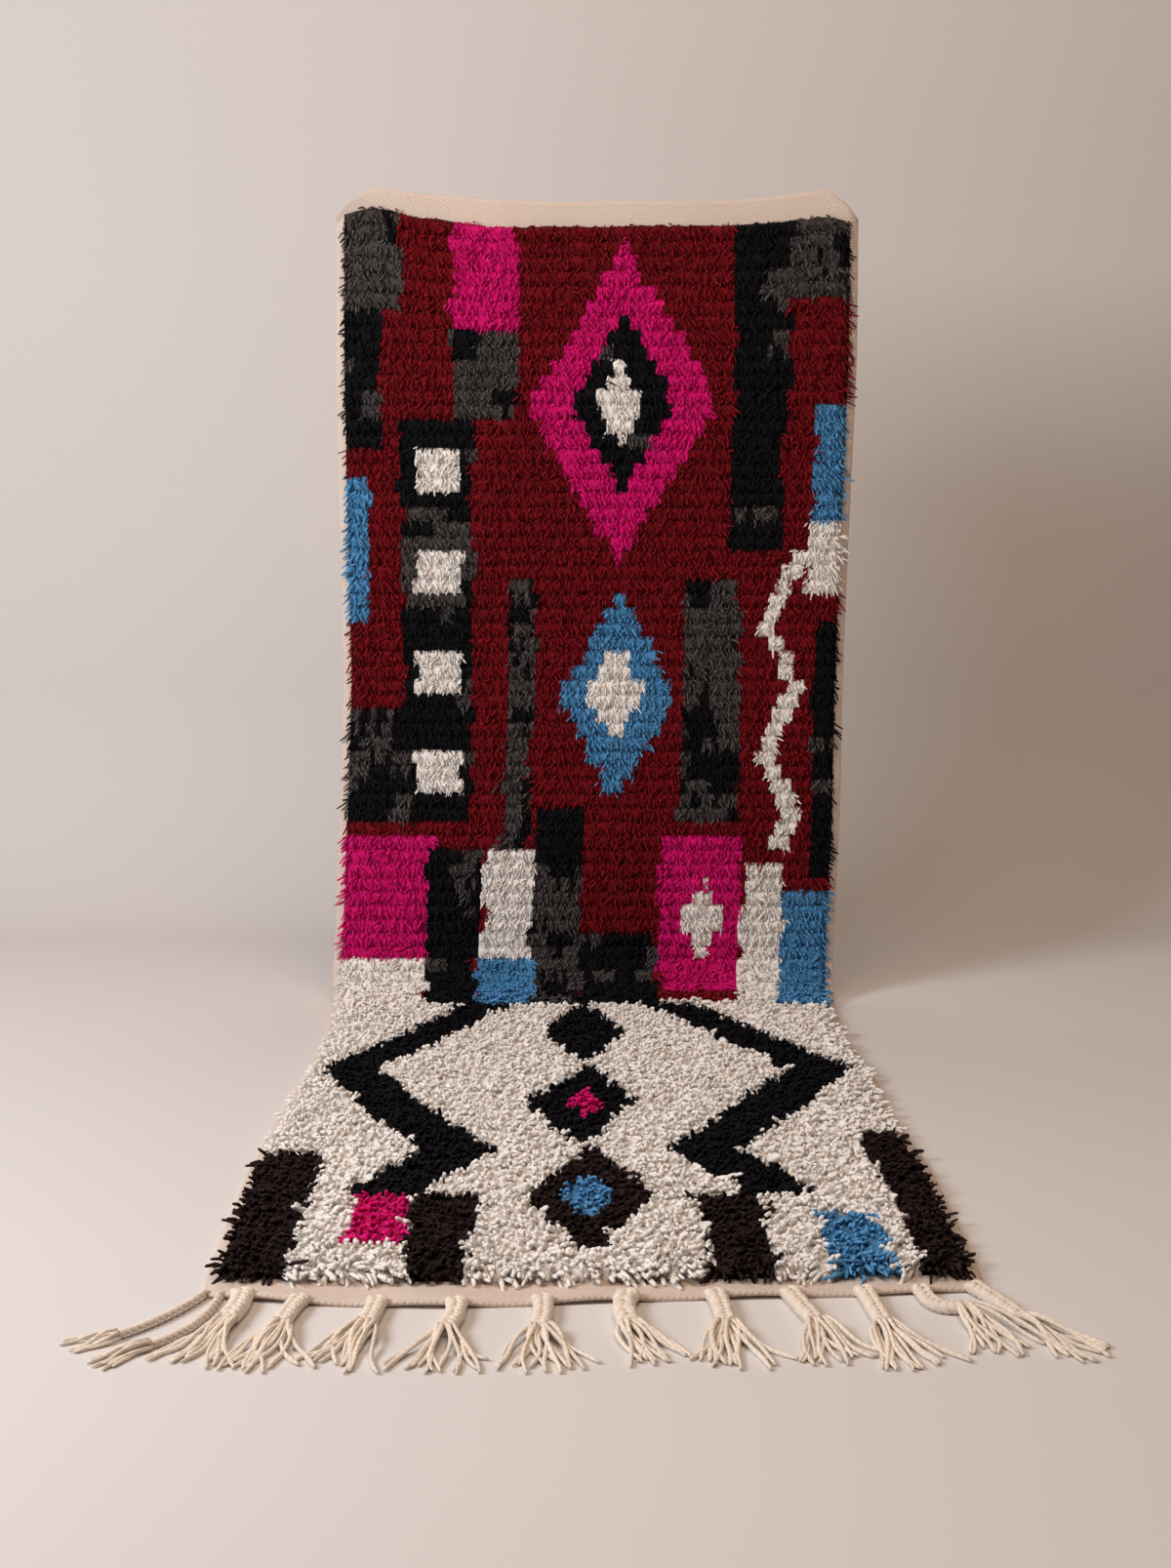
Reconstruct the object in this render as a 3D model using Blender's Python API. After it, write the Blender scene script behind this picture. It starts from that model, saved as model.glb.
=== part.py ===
"""Berber runner rug: hung by its top edge, bent at the floor, and laid out flat to a fringed hem.

Metres, +Z up. The pile faces -Y on the hanging half and +Z on the lying half. The origin is on the
floor, under the middle of the lying half. The rug's own measure, called "along", runs from the top
edge (0) down the back, round the bend and over the floor to the hem.
"""

import math
import random
from collections import namedtuple

import bmesh
import bpy
from mathutils import Vector

# Driving dimensions of the cloth
HANG_Y = 0.720
TOP_HEIGHT = 1.242
BEND_RADIUS = 0.090
HEM_REACH = 1.347
DROP_LENGTH = TOP_HEIGHT - BEND_RADIUS
ARC_LENGTH = BEND_RADIUS * math.pi / 2
CLOTH_LENGTH = DROP_LENGTH + ARC_LENGTH + HEM_REACH - BEND_RADIUS

# Flat-woven parts
GROUND_THICK = 0.0045
TOP_BAND = 0.037
HEM_BAND = 0.052
SELVEDGE = 0.011

# Pile: rows of knots whose tips lie over the next row, towards the hem
PILE_ROWS = 110
PILE_LOW = 0.0105
PILE_HIGH = 0.0190
PILE_RIM = 0.0130
ROOT_PLACE = 0.12
TIP_PLACE = 0.82
LUMP = 0.0022
RIM_WANDER = 0.0035
SEED = 41

# Locks of pile that hang over the rim
SIDE_LOCK_EVERY = 2
SIDE_LOCK_OUT = (0.010, 0.019)
SIDE_LOCK_ALONG = 0.006
SIDE_LOCK_HEIGHT = 0.0075
FRONT_FACES = 43
RIM_DROOP = 0.9
FRONT_LOCK_OUT = (0.010, 0.020)
FRONT_LOCK_HEIGHT = 0.0065
LOCK_WAIST = 0.62
LOCK_WAIST_AT = 0.55

# Slack of the hanging half, and the hem's lift off the floor between its tassels
SLACK = 0.006
SLACK_LENGTH = 0.88
SLACK_SKEW = 1.7
HEM_LIFT = 0.0045
HEM_LIFT_OVER = 0.050
HEM_LIFT_PITCH = 0.165

# How far the shape of each end reaches into the cloth
TOP_BLEND = 0.30
HEM_BLEND = 0.45

EndShape = namedtuple("EndShape", "across edge pile")
# Rise of the top edge, and of the line where the pile starts, above their even lines
TOP_SHAPE = [
    EndShape(-0.400, -0.024, 0.003),
    EndShape(-0.389, -0.008, 0.017),
    EndShape(-0.345, 0.021, 0.031),
    EndShape(-0.270, 0.011, 0.014),
    EndShape(-0.160, 0.002, -0.001),
    EndShape(-0.060, -0.001, 0.000),
    EndShape(0.060, 0.000, 0.001),
    EndShape(0.180, 0.000, 0.001),
    EndShape(0.270, 0.006, 0.006),
    EndShape(0.350, 0.018, 0.015),
    EndShape(0.389, -0.008, 0.008),
    EndShape(0.400, -0.026, 0.001),
]
# Reach of the hem's edge, and of the line where the pile ends, beyond their even lines
HEM_SHAPE = [
    EndShape(-0.400, -0.012, -0.005),
    EndShape(-0.300, 0.009, 0.003),
    EndShape(-0.160, 0.019, 0.007),
    EndShape(-0.040, 0.009, 0.006),
    EndShape(0.080, -0.003, 0.002),
    EndShape(0.200, -0.010, -0.003),
    EndShape(0.300, -0.017, -0.010),
    EndShape(0.400, -0.029, -0.014),
]

SideEdges = namedtuple("SideEdges", "along left right")
SIDE_EDGES = [
    SideEdges(0.00, -0.388, 0.408),
    SideEdges(0.24, -0.391, 0.409),
    SideEdges(0.52, -0.389, 0.401),
    SideEdges(0.74, -0.387, 0.395),
    SideEdges(0.95, -0.396, 0.393),
    SideEdges(1.20, -0.409, 0.385),
    SideEdges(1.46, -0.389, 0.373),
    SideEdges(1.74, -0.394, 0.388),
    SideEdges(1.90, -0.399, 0.385),
    SideEdges(2.14, -0.403, 0.398),
    SideEdges(2.44, -0.394, 0.395),
    SideEdges(2.56, -0.384, 0.388),
]

# Front columns between the two rims, in metres from the middle of an 0.80 m width
HALF_WIDTH = 0.400
INNER_COLUMNS = (-0.345, -0.270, -0.165, -0.055, 0.055, 0.165, 0.270, 0.345)
BACK_COLUMNS = (-0.400, -0.165, 0.165, 0.400)
BACK_TOP_COLUMNS = (-0.400, -0.389, -0.345, -0.165, 0.165, 0.345, 0.389, 0.400)
PILE_FOOT = HALF_WIDTH - SELVEDGE
RIM_SLOPE = 0.002
WIDEST_RIM = PILE_FOOT - RIM_SLOPE

# A station is one row of points across the cloth, each (across, along, height over the back)
Station = namedtuple("Station", "kind front back")
# Points from a selvedge's edge to the pile's rim, leaving out the rim itself
RIM = 2

# Fringe. A head is a plait or a twisted cord, and its loose ends fan out from it on the floor.
FLOOR_GAP = 0.0003
HEAD_STATIONS = 11
HEAD_SIDE = 0.16
HEAD_GROOVE = 0.74
HEAD_OUTLINE = (0.78, 0.55, 0.42)
TWIST_PITCH = 0.026
STRAND_WIDTH = 0.0034
STRAND_HEIGHT = 0.0040
STRAND_SECTIONS = 3
STRAND_TIP = 0.55
STRAND_UNEVEN = 0.16
WALL_BOW = 0.16
WALL_BEYOND = 0.8

Tassel = namedtuple("Tassel", "name root mid end wide high strands heading spread length bend")
# root is the place along the hem, mid and end are (X, distance beyond the root) of the head's path,
# heading is the fan's middle direction from -Y towards +X, and spread its whole angle
TASSELS = [
    Tassel("cord_left_outer", -0.383, (-0.410, 0.058), (-0.447, 0.108), 0.009, 0.008, 4, -58, 26, 0.044, 4),
    Tassel("cord_left_inner", -0.368, (-0.379, 0.075), (-0.412, 0.128), 0.009, 0.008, 4, -50, 24, 0.055, 8),
    Tassel("tassel_01", -0.346, (-0.345, 0.028), (-0.350, 0.064), 0.019, 0.013, 9, -10, 18, 0.094, -6),
    Tassel("tassel_02", -0.287, (-0.293, 0.026), (-0.297, 0.062), 0.018, 0.012, 8, -9, 18, 0.098, 0),
    Tassel("tassel_03", -0.211, (-0.213, 0.026), (-0.216, 0.056), 0.018, 0.012, 8, -12, 20, 0.098, -3),
    Tassel("tassel_04", -0.134, (-0.134, 0.034), (-0.141, 0.068), 0.019, 0.012, 9, 0, 36, 0.086, 0),
    Tassel("tassel_05", -0.050, (-0.049, 0.034), (-0.052, 0.072), 0.019, 0.012, 9, 4, 36, 0.086, 0),
    Tassel("tassel_06", 0.034, (0.029, 0.032), (0.034, 0.072), 0.020, 0.014, 9, 17, 26, 0.078, 2),
    Tassel("tassel_07", 0.120, (0.124, 0.036), (0.126, 0.078), 0.019, 0.012, 9, 3, 30, 0.090, 0),
    Tassel("tassel_08", 0.194, (0.203, 0.038), (0.212, 0.076), 0.018, 0.012, 8, 12, 24, 0.082, -3),
    Tassel("tassel_09", 0.268, (0.272, 0.042), (0.276, 0.086), 0.018, 0.012, 8, 8, 24, 0.090, 0),
    Tassel("tassel_10", 0.326, (0.334, 0.042), (0.361, 0.046), 0.013, 0.012, 7, 14, 12, 0.104, -3),
    Tassel("tassel_11", 0.378, (0.396, 0.042), (0.410, 0.086), 0.015, 0.011, 7, 32, 18, 0.092, 3),
]

# Finish of each material: colour, roughness
WOOL = ("knotted wool", (0.33, 0.11, 0.12, 1.0), 0.92)
COTTON = ("cotton warp", (0.66, 0.54, 0.38, 1.0), 0.88)


def smooth_step(amount):
    amount = min(max(amount, 0.0), 1.0)
    return amount * amount * (3 - 2 * amount)


def read_table(rows, key, column, at):
    """Value of a column at a place between two rows, in straight lines."""
    places = [getattr(row, key) for row in rows]
    values = [getattr(row, column) for row in rows]
    if at <= places[0]:
        return values[0]
    for place, following, value, then in zip(places, places[1:], values, values[1:]):
        if at <= following:
            return value + (then - value) * (at - place) / (following - place)
    return values[-1]


def cloth_point(across, along, height):
    """Place of a point of the cloth: across from -0.40 to 0.40, along from the top, height over the back."""
    left = read_table(SIDE_EDGES, "along", "left", along)
    right = read_table(SIDE_EDGES, "along", "right", along)
    x = left + (right - left) * (across + HALF_WIDTH) / (2 * HALF_WIDTH)
    if along <= DROP_LENGTH:
        swing = math.sin(2 * math.pi * along / SLACK_LENGTH + SLACK_SKEW * across)
        slack = SLACK * swing * math.sin(math.pi * max(along, 0) / DROP_LENGTH)
        return Vector((x, HANG_Y - height - slack, TOP_HEIGHT - along))
    if along <= DROP_LENGTH + ARC_LENGTH:
        turn = (along - DROP_LENGTH) / BEND_RADIUS
        radius = BEND_RADIUS - height
        y = HANG_Y - BEND_RADIUS + radius * math.cos(turn)
        return Vector((x, y, BEND_RADIUS - radius * math.sin(turn)))
    y = HANG_Y - BEND_RADIUS - (along - DROP_LENGTH - ARC_LENGTH)
    rise = smooth_step(1 - (CLOTH_LENGTH - along) / HEM_LIFT_OVER)
    wave = 0.5 + 0.5 * math.cos(2 * math.pi * across / HEM_LIFT_PITCH)
    return Vector((x, y, height + HEM_LIFT * rise * wave))


def shaped_along(across, along, column):
    """The even place along the cloth, moved by the shapes of the top edge and of the hem."""
    near_top = (1 - smooth_step(along / TOP_BLEND)) * read_table(TOP_SHAPE, "across", column, across)
    to_hem = 1 - smooth_step((CLOTH_LENGTH - along) / HEM_BLEND)
    return along - near_top + to_hem * read_table(HEM_SHAPE, "across", column, across)


def stitch(mesh, first, second):
    """Faces between two rows of vertices that start and end beside each other."""
    if len(first) == len(second):
        for a, b, c, d in zip(first, first[1:], second[1:], second):
            mesh.faces.new((a, b, c, d))
        return
    i = j = 0
    while i < len(first) - 1 or j < len(second) - 1:
        next_first = (i + 1) / (len(first) - 1)
        next_second = (j + 1) / (len(second) - 1)
        if j == len(second) - 1 or (i < len(first) - 1 and next_first <= next_second):
            mesh.faces.new((first[i], first[i + 1], second[j]))
            i += 1
        else:
            mesh.faces.new((first[i], second[j + 1], second[j]))
            j += 1


def grow_lock(mesh, corners, tip):
    """A tapered lock of pile on four corners, in place of the face between them."""
    middle = sum((corner.co for corner in corners), Vector()) / len(corners)
    waist = middle.lerp(tip, LOCK_WAIST_AT)
    ring = [mesh.verts.new(waist + (corner.co - middle) * LOCK_WAIST) for corner in corners]
    point = mesh.verts.new(tip)
    for index, corner in enumerate(corners):
        after = (index + 1) % len(corners)
        mesh.faces.new((corner, corners[after], ring[after], ring[index]))
        mesh.faces.new((ring[index], ring[after], point))


def add_object(name, mesh, finish):
    """Closes the mesh's books: faces out, its material, and an object of that name."""
    bmesh.ops.recalc_face_normals(mesh, faces=mesh.faces)
    if mesh.calc_volume(signed=True) < 0:
        bmesh.ops.reverse_faces(mesh, faces=mesh.faces)
    data = bpy.data.meshes.new(name)
    mesh.to_mesh(data)
    mesh.free()
    data.materials.append(finish)
    item = bpy.data.objects.new(name, data)
    bpy.context.scene.collection.objects.link(item)
    return item


def make_material(name, colour, roughness):
    finish = bpy.data.materials.new(name)
    finish.use_nodes = True
    shader = finish.node_tree.nodes["Principled BSDF"]
    shader.inputs["Base Color"].default_value = colour
    shader.inputs["Roughness"].default_value = roughness
    shader.inputs["Metallic"].default_value = 0.0
    finish.diffuse_color = colour
    return finish


def back_row(along, column):
    """The back of the cloth at a station, with more points where an end has its shape."""
    places = BACK_COLUMNS
    if along < TOP_BLEND:
        places = BACK_TOP_COLUMNS
    elif along > CLOTH_LENGTH - HEM_BAND:
        places = (-HALF_WIDTH, *INNER_COLUMNS, HALF_WIDTH)
    return [(across, shaped_along(across, along, column), 0) for across in places]


def flat_station(along, column, kind="flat"):
    """A station where the cloth is flat-woven all the way across."""
    places = (-HALF_WIDTH, -PILE_FOOT, -WIDEST_RIM, *INNER_COLUMNS, WIDEST_RIM, PILE_FOOT, HALF_WIDTH)
    front = [(across, shaped_along(across, along, column), GROUND_THICK) for across in places]
    return Station(kind, front, back_row(along, column))


def pile_station(along, height, luck, kind):
    """A station over the selvedges and the pile between them, at a line of roots or of tips."""
    left_rim = WIDEST_RIM - luck.uniform(0, RIM_WANDER)
    right_rim = WIDEST_RIM - luck.uniform(0, RIM_WANDER)
    row = [(-HALF_WIDTH, GROUND_THICK), (-PILE_FOOT, GROUND_THICK), (-left_rim, PILE_RIM)]
    row += [(across, height + luck.uniform(-LUMP, LUMP)) for across in INNER_COLUMNS]
    row += [(right_rim, PILE_RIM), (PILE_FOOT, GROUND_THICK), (HALF_WIDTH, GROUND_THICK)]
    front = [(across, shaped_along(across, along, "pile"), lift) for across, lift in row]
    return Station(kind, front, back_row(along, "pile"))


def finer_station(station, kind, step=0.0, lower=1.0):
    """A copy of a station, a step further along, with its stretch between the rims in more points."""
    rims = station.front[RIM:-RIM]
    row = []
    after = 1
    for index in range(FRONT_FACES + 1):
        across = rims[0][0] + (rims[-1][0] - rims[0][0]) * index / FRONT_FACES
        while after < len(rims) - 1 and across > rims[after][0]:
            after += 1
        start, end = rims[after - 1], rims[after]
        share = (across - start[0]) / (end[0] - start[0])
        along = start[1] + (end[1] - start[1]) * share + step
        row.append((across, along, lower * (start[2] + (end[2] - start[2]) * share)))
    ends = [[(across, along + step, lift) for across, along, lift in part]
            for part in (station.front[:RIM], station.front[-RIM:], station.back)]
    return Station(kind, ends[0] + row + ends[1], ends[2])


def rug_stations(luck):
    """Every station from the top edge to the hem."""
    pile_end = CLOTH_LENGTH - HEM_BAND
    pitch = (pile_end - TOP_BAND) / PILE_ROWS
    stations = [flat_station(0, "edge"), flat_station(TOP_BAND, "pile")]
    for row in range(PILE_ROWS):
        start = TOP_BAND + row * pitch
        stations.append(pile_station(start + ROOT_PLACE * pitch, PILE_LOW, luck, "root"))
        tip_kind = "locked tip" if row % SIDE_LOCK_EVERY == 0 else "tip"
        stations.append(pile_station(start + TIP_PLACE * pitch, PILE_HIGH, luck, tip_kind))
    stations.append(finer_station(stations[-1], "rim", pitch * (1 - TIP_PLACE) / 2, RIM_DROOP))
    stations.append(finer_station(flat_station(pile_end, "pile"), "foot"))
    stations.append(flat_station(CLOTH_LENGTH, "edge"))
    return stations


def make_rug(finish):
    """The rug's body: ground, end bands and selvedges woven in one with the lumpy pile."""
    luck = random.Random(SEED)
    mesh = bmesh.new()
    stations = rug_stations(luck)
    fronts = [[mesh.verts.new(cloth_point(*point)) for point in station.front] for station in stations]
    backs = [[mesh.verts.new(cloth_point(*point)) for point in station.back] for station in stations]
    for index, station in enumerate(stations[1:]):
        front, below = fronts[index], fronts[index + 1]
        back, back_below = backs[index], backs[index + 1]
        stitch(mesh, back, back_below)
        mesh.faces.new((front[0], below[0], back_below[0], back[0]))
        mesh.faces.new((front[-1], below[-1], back_below[-1], back[-1]))
        stitch(mesh, front[:RIM], below[:RIM])
        stitch(mesh, front[-RIM:], below[-RIM:])
        if station.kind == "locked tip":
            add_side_lock(mesh, station.front[0], -1, (front[1], front[2], below[2], below[1]), luck)
            add_side_lock(mesh, station.front[-1], 1, (front[-2], front[-3], below[-3], below[-2]), luck)
        else:
            stitch(mesh, front[RIM - 1:RIM + 1], below[RIM - 1:RIM + 1])
            stitch(mesh, front[-RIM - 1:1 - RIM], below[-RIM - 1:1 - RIM])
        if station.kind == "foot":
            add_front_locks(mesh, station.front[RIM:-RIM], front[RIM:-RIM], below[RIM:-RIM], luck)
        else:
            stitch(mesh, front[RIM:-RIM], below[RIM:-RIM])
    stitch(mesh, fronts[0], backs[0])
    stitch(mesh, fronts[-1], backs[-1])
    return add_object("rug_body", mesh, finish)


def add_side_lock(mesh, edge, side, corners, luck):
    """One lock over a selvedge, leaning the way the nap lies."""
    across, along, _ = edge
    out = luck.uniform(*SIDE_LOCK_OUT) - SELVEDGE
    tip = cloth_point(across + side * out, along + SIDE_LOCK_ALONG, SIDE_LOCK_HEIGHT)
    grow_lock(mesh, corners, tip)


def add_front_locks(mesh, row, upper, lower, luck):
    """Locks over the hem band, from every other face of the pile's last rim."""
    for index in range(FRONT_FACES):
        corners = (upper[index], upper[index + 1], lower[index + 1], lower[index])
        if index % 2:
            mesh.faces.new(corners)
            continue
        middle = (row[index][0] + row[index + 1][0]) / 2
        reach = luck.uniform(*FRONT_LOCK_OUT)
        grow_lock(mesh, corners, cloth_point(middle, row[index][1] + reach, FRONT_LOCK_HEIGHT))


def hem_edge_y(x):
    """Where the hem's edge stands at X, along the straight lines between the mesh's columns."""
    row = [cloth_point(*point) for point in flat_station(CLOTH_LENGTH, "edge").front]
    for before, after in zip(row, row[1:]):
        if x <= after.x:
            share = (x - before.x) / (after.x - before.x)
            return before.y + (after.y - before.y) * share
    return row[-1].y


def bezier(start, pull, finish, share):
    """Point and direction on a curve that passes through pull half way."""
    handle = 2 * pull - (start + finish) / 2
    place = start * (1 - share) ** 2 + handle * 2 * share * (1 - share) + finish * share**2
    way = (handle - start) * 2 * (1 - share) + (finish - handle) * 2 * share
    return place, way.normalized()


def head_section(place, way, wide, high, phase):
    """Seven points round a plait: flat below, with its left and right lobes taking turns above."""
    side = Vector((-way.y, way.x, 0))
    swing = math.sin(phase)
    left = wide / 2 * (1 + HEAD_SIDE * swing)
    right = wide / 2 * (1 - HEAD_SIDE * swing)
    foot, crown, belly = HEAD_OUTLINE
    outline = (
        (-foot * left, 0.0),
        (-left, belly * high),
        (-crown * left, high * (1 + HEAD_SIDE * swing)),
        (0.0, high * HEAD_GROOVE),
        (crown * right, high * (1 - HEAD_SIDE * swing)),
        (right, belly * high),
        (foot * right, 0.0),
    )
    return [place + side * shift + Vector((0, 0, lift)) for shift, lift in outline]


def grow_strand(mesh, base, start_way, length, bend):
    """A three-sided loose end that lies level on the floor, from the triangle base."""
    ring = list(base)
    middle = (base[0].co + base[1].co) / 2
    angle = math.atan2(start_way.x, -start_way.y)
    for section in range(1, STRAND_SECTIONS + 1):
        share = section / STRAND_SECTIONS
        turned = angle + math.radians(bend) * share
        way = Vector((math.sin(turned), -math.cos(turned), 0))
        side = Vector((math.cos(turned), math.sin(turned), 0))
        middle = middle + way * length / STRAND_SECTIONS
        size = 1 - (1 - STRAND_TIP) * share
        half = side * STRAND_WIDTH * size / 2
        top = middle + Vector((0, 0, STRAND_HEIGHT * size))
        following = [mesh.verts.new(point) for point in (middle - half, middle + half, top)]
        for index in range(3):
            after = (index + 1) % 3
            mesh.faces.new((ring[index], ring[after], following[after], following[index]))
        ring = following
    mesh.faces.new(ring)


def make_tassel(row, finish):
    """A plaited head that starts at the hem, and the loose ends that fan out from it."""
    luck = random.Random(row.name)
    mesh = bmesh.new()
    reach = row.wide / 2 * (1 + HEAD_SIDE)
    hem = min(hem_edge_y(row.root + step * reach) for step in (-1, -0.5, 0, 0.5, 1))
    start = Vector((row.root, hem - FLOOR_GAP, 0))
    pull = Vector((row.mid[0], start.y - row.mid[1], 0))
    finish_at = Vector((row.end[0], start.y - row.end[1], 0))
    run = (pull - start).length + (finish_at - pull).length
    sections = []
    for station in range(HEAD_STATIONS):
        share = station / (HEAD_STATIONS - 1)
        place, way = bezier(start, pull, finish_at, share)
        if station == 0:
            way = Vector((0, -1, 0))
        phase = 2 * math.pi * run * share / TWIST_PITCH
        section = head_section(place, way, row.wide, row.high, phase)
        sections.append([mesh.verts.new(point) for point in section])
    mesh.faces.new(sections[0])
    for first, second in zip(sections, sections[1:]):
        stitch(mesh, first, second)
        mesh.faces.new((first[-1], second[-1], second[0], first[0]))
    middle = math.radians(row.heading)
    ways = []
    for index in range(row.strands):
        share = index / (row.strands - 1) - 0.5
        turned = middle + math.radians(row.spread) * share
        ways.append(Vector((math.sin(turned), -math.cos(turned), 0)))
    out = Vector((math.sin(middle), -math.cos(middle), 0))
    side = Vector((math.cos(middle), math.sin(middle), 0))
    width = STRAND_WIDTH * row.strands
    wall = finish_at + out * row.wide * WALL_BEYOND
    floor_row = []
    top_row = []
    for index in range(row.strands + 1):
        share = index / row.strands - 0.5
        bow = out * width * WALL_BOW * (1 - 4 * share * share)
        floor_row.append(mesh.verts.new(wall + side * width * share + bow))
    for before, after in zip(floor_row, floor_row[1:]):
        top_row.append(mesh.verts.new((before.co + after.co) / 2 + Vector((0, 0, STRAND_HEIGHT))))
    last = sections[-1]
    stitch(mesh, [last[0], last[-1]], floor_row)
    stitch(mesh, last, [floor_row[0], *top_row, floor_row[-1]])
    for index in range(row.strands - 1):
        mesh.faces.new((top_row[index], floor_row[index + 1], top_row[index + 1]))
    for index, way in enumerate(ways):
        base = (floor_row[index], floor_row[index + 1], top_row[index])
        length = row.length * (1 - luck.uniform(0, STRAND_UNEVEN))
        grow_strand(mesh, base, way, length, row.bend)
    return add_object(row.name, mesh, finish)


def main():
    for item in list(bpy.data.objects):
        bpy.data.objects.remove(item, do_unlink=True)
    wool = make_material(*WOOL)
    cotton = make_material(*COTTON)
    make_rug(wool)
    for row in TASSELS:
        make_tassel(row, cotton)


main()
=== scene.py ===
"""Berber runner rug: the looks of its pile, ground weave and plaited fringe.

Everything is in metres in the frame's own space. "Across" runs from -0.40 to 0.40 over the rug's width,
"along" runs down from the top edge, round the bend and over the floor to the hem, and "height" stands
off the back of the cloth.
"""

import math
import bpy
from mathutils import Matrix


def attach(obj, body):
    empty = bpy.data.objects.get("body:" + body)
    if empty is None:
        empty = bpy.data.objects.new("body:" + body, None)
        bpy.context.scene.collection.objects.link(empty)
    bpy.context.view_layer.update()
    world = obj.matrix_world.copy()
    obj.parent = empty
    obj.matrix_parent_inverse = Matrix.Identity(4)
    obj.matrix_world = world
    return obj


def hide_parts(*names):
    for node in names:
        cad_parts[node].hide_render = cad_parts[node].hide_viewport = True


bl_info = {
    "name": "Berber Runner Rug",
    "version": (1, 0, 0),
    "blender": (4, 5, 0),
    "location": "View3D > Sidebar > Runner Rug",
    "description": "Knotted pile, ground weave and plaited fringe of a hung runner rug",
    "category": "Object",
}

from collections import namedtuple

import bpy
import numpy as np
from mathutils import Vector

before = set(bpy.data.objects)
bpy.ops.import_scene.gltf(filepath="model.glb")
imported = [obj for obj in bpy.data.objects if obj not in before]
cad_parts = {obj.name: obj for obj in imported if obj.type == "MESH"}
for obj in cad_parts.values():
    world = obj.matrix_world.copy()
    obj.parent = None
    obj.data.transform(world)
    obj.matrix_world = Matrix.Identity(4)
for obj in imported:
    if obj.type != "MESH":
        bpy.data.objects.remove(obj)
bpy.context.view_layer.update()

# The cloth's form, as in the model it is fitted to
HALF_WIDTH = 0.400
HANG_Y = 0.720
TOP_HEIGHT = 1.242
BEND_RADIUS = 0.090
HEM_REACH = 1.347
DROP_LENGTH = TOP_HEIGHT - BEND_RADIUS
ARC_LENGTH = BEND_RADIUS * math.pi / 2
CLOTH_LENGTH = DROP_LENGTH + ARC_LENGTH + HEM_REACH - BEND_RADIUS
TOP_BAND = 0.037
HEM_BAND = 0.052
SELVEDGE = 0.011
PILE_ROWS = 110
PILE_END = CLOTH_LENGTH - HEM_BAND
ROW_PITCH = (PILE_END - TOP_BAND) / PILE_ROWS
SLACK = 0.006
SLACK_LENGTH = 0.88
SLACK_SKEW = 1.7
HEM_LIFT = 0.0045
HEM_LIFT_OVER = 0.050
HEM_LIFT_PITCH = 0.165
TOP_BLEND = 0.30
HEM_BLEND = 0.45

EndShape = namedtuple("EndShape", "across edge pile")
TOP_SHAPE = [
    EndShape(-0.400, -0.024, 0.003),
    EndShape(-0.389, -0.008, 0.017),
    EndShape(-0.345, 0.021, 0.031),
    EndShape(-0.270, 0.011, 0.014),
    EndShape(-0.160, 0.002, -0.001),
    EndShape(-0.060, -0.001, 0.000),
    EndShape(0.060, 0.000, 0.001),
    EndShape(0.180, 0.000, 0.001),
    EndShape(0.270, 0.006, 0.006),
    EndShape(0.350, 0.018, 0.015),
    EndShape(0.389, -0.008, 0.008),
    EndShape(0.400, -0.026, 0.001),
]
HEM_SHAPE = [
    EndShape(-0.400, -0.012, -0.005),
    EndShape(-0.300, 0.009, 0.003),
    EndShape(-0.160, 0.019, 0.007),
    EndShape(-0.040, 0.009, 0.006),
    EndShape(0.080, -0.003, 0.002),
    EndShape(0.200, -0.010, -0.003),
    EndShape(0.300, -0.017, -0.010),
    EndShape(0.400, -0.029, -0.014),
]
SideEdges = namedtuple("SideEdges", "along left right")
SIDE_EDGES = [
    SideEdges(0.00, -0.388, 0.408),
    SideEdges(0.24, -0.391, 0.409),
    SideEdges(0.52, -0.389, 0.401),
    SideEdges(0.74, -0.387, 0.395),
    SideEdges(0.95, -0.396, 0.393),
    SideEdges(1.20, -0.409, 0.385),
    SideEdges(1.46, -0.389, 0.373),
    SideEdges(1.74, -0.394, 0.388),
    SideEdges(1.90, -0.399, 0.385),
    SideEdges(2.14, -0.403, 0.398),
    SideEdges(2.44, -0.394, 0.395),
    SideEdges(2.56, -0.384, 0.388),
]

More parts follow.
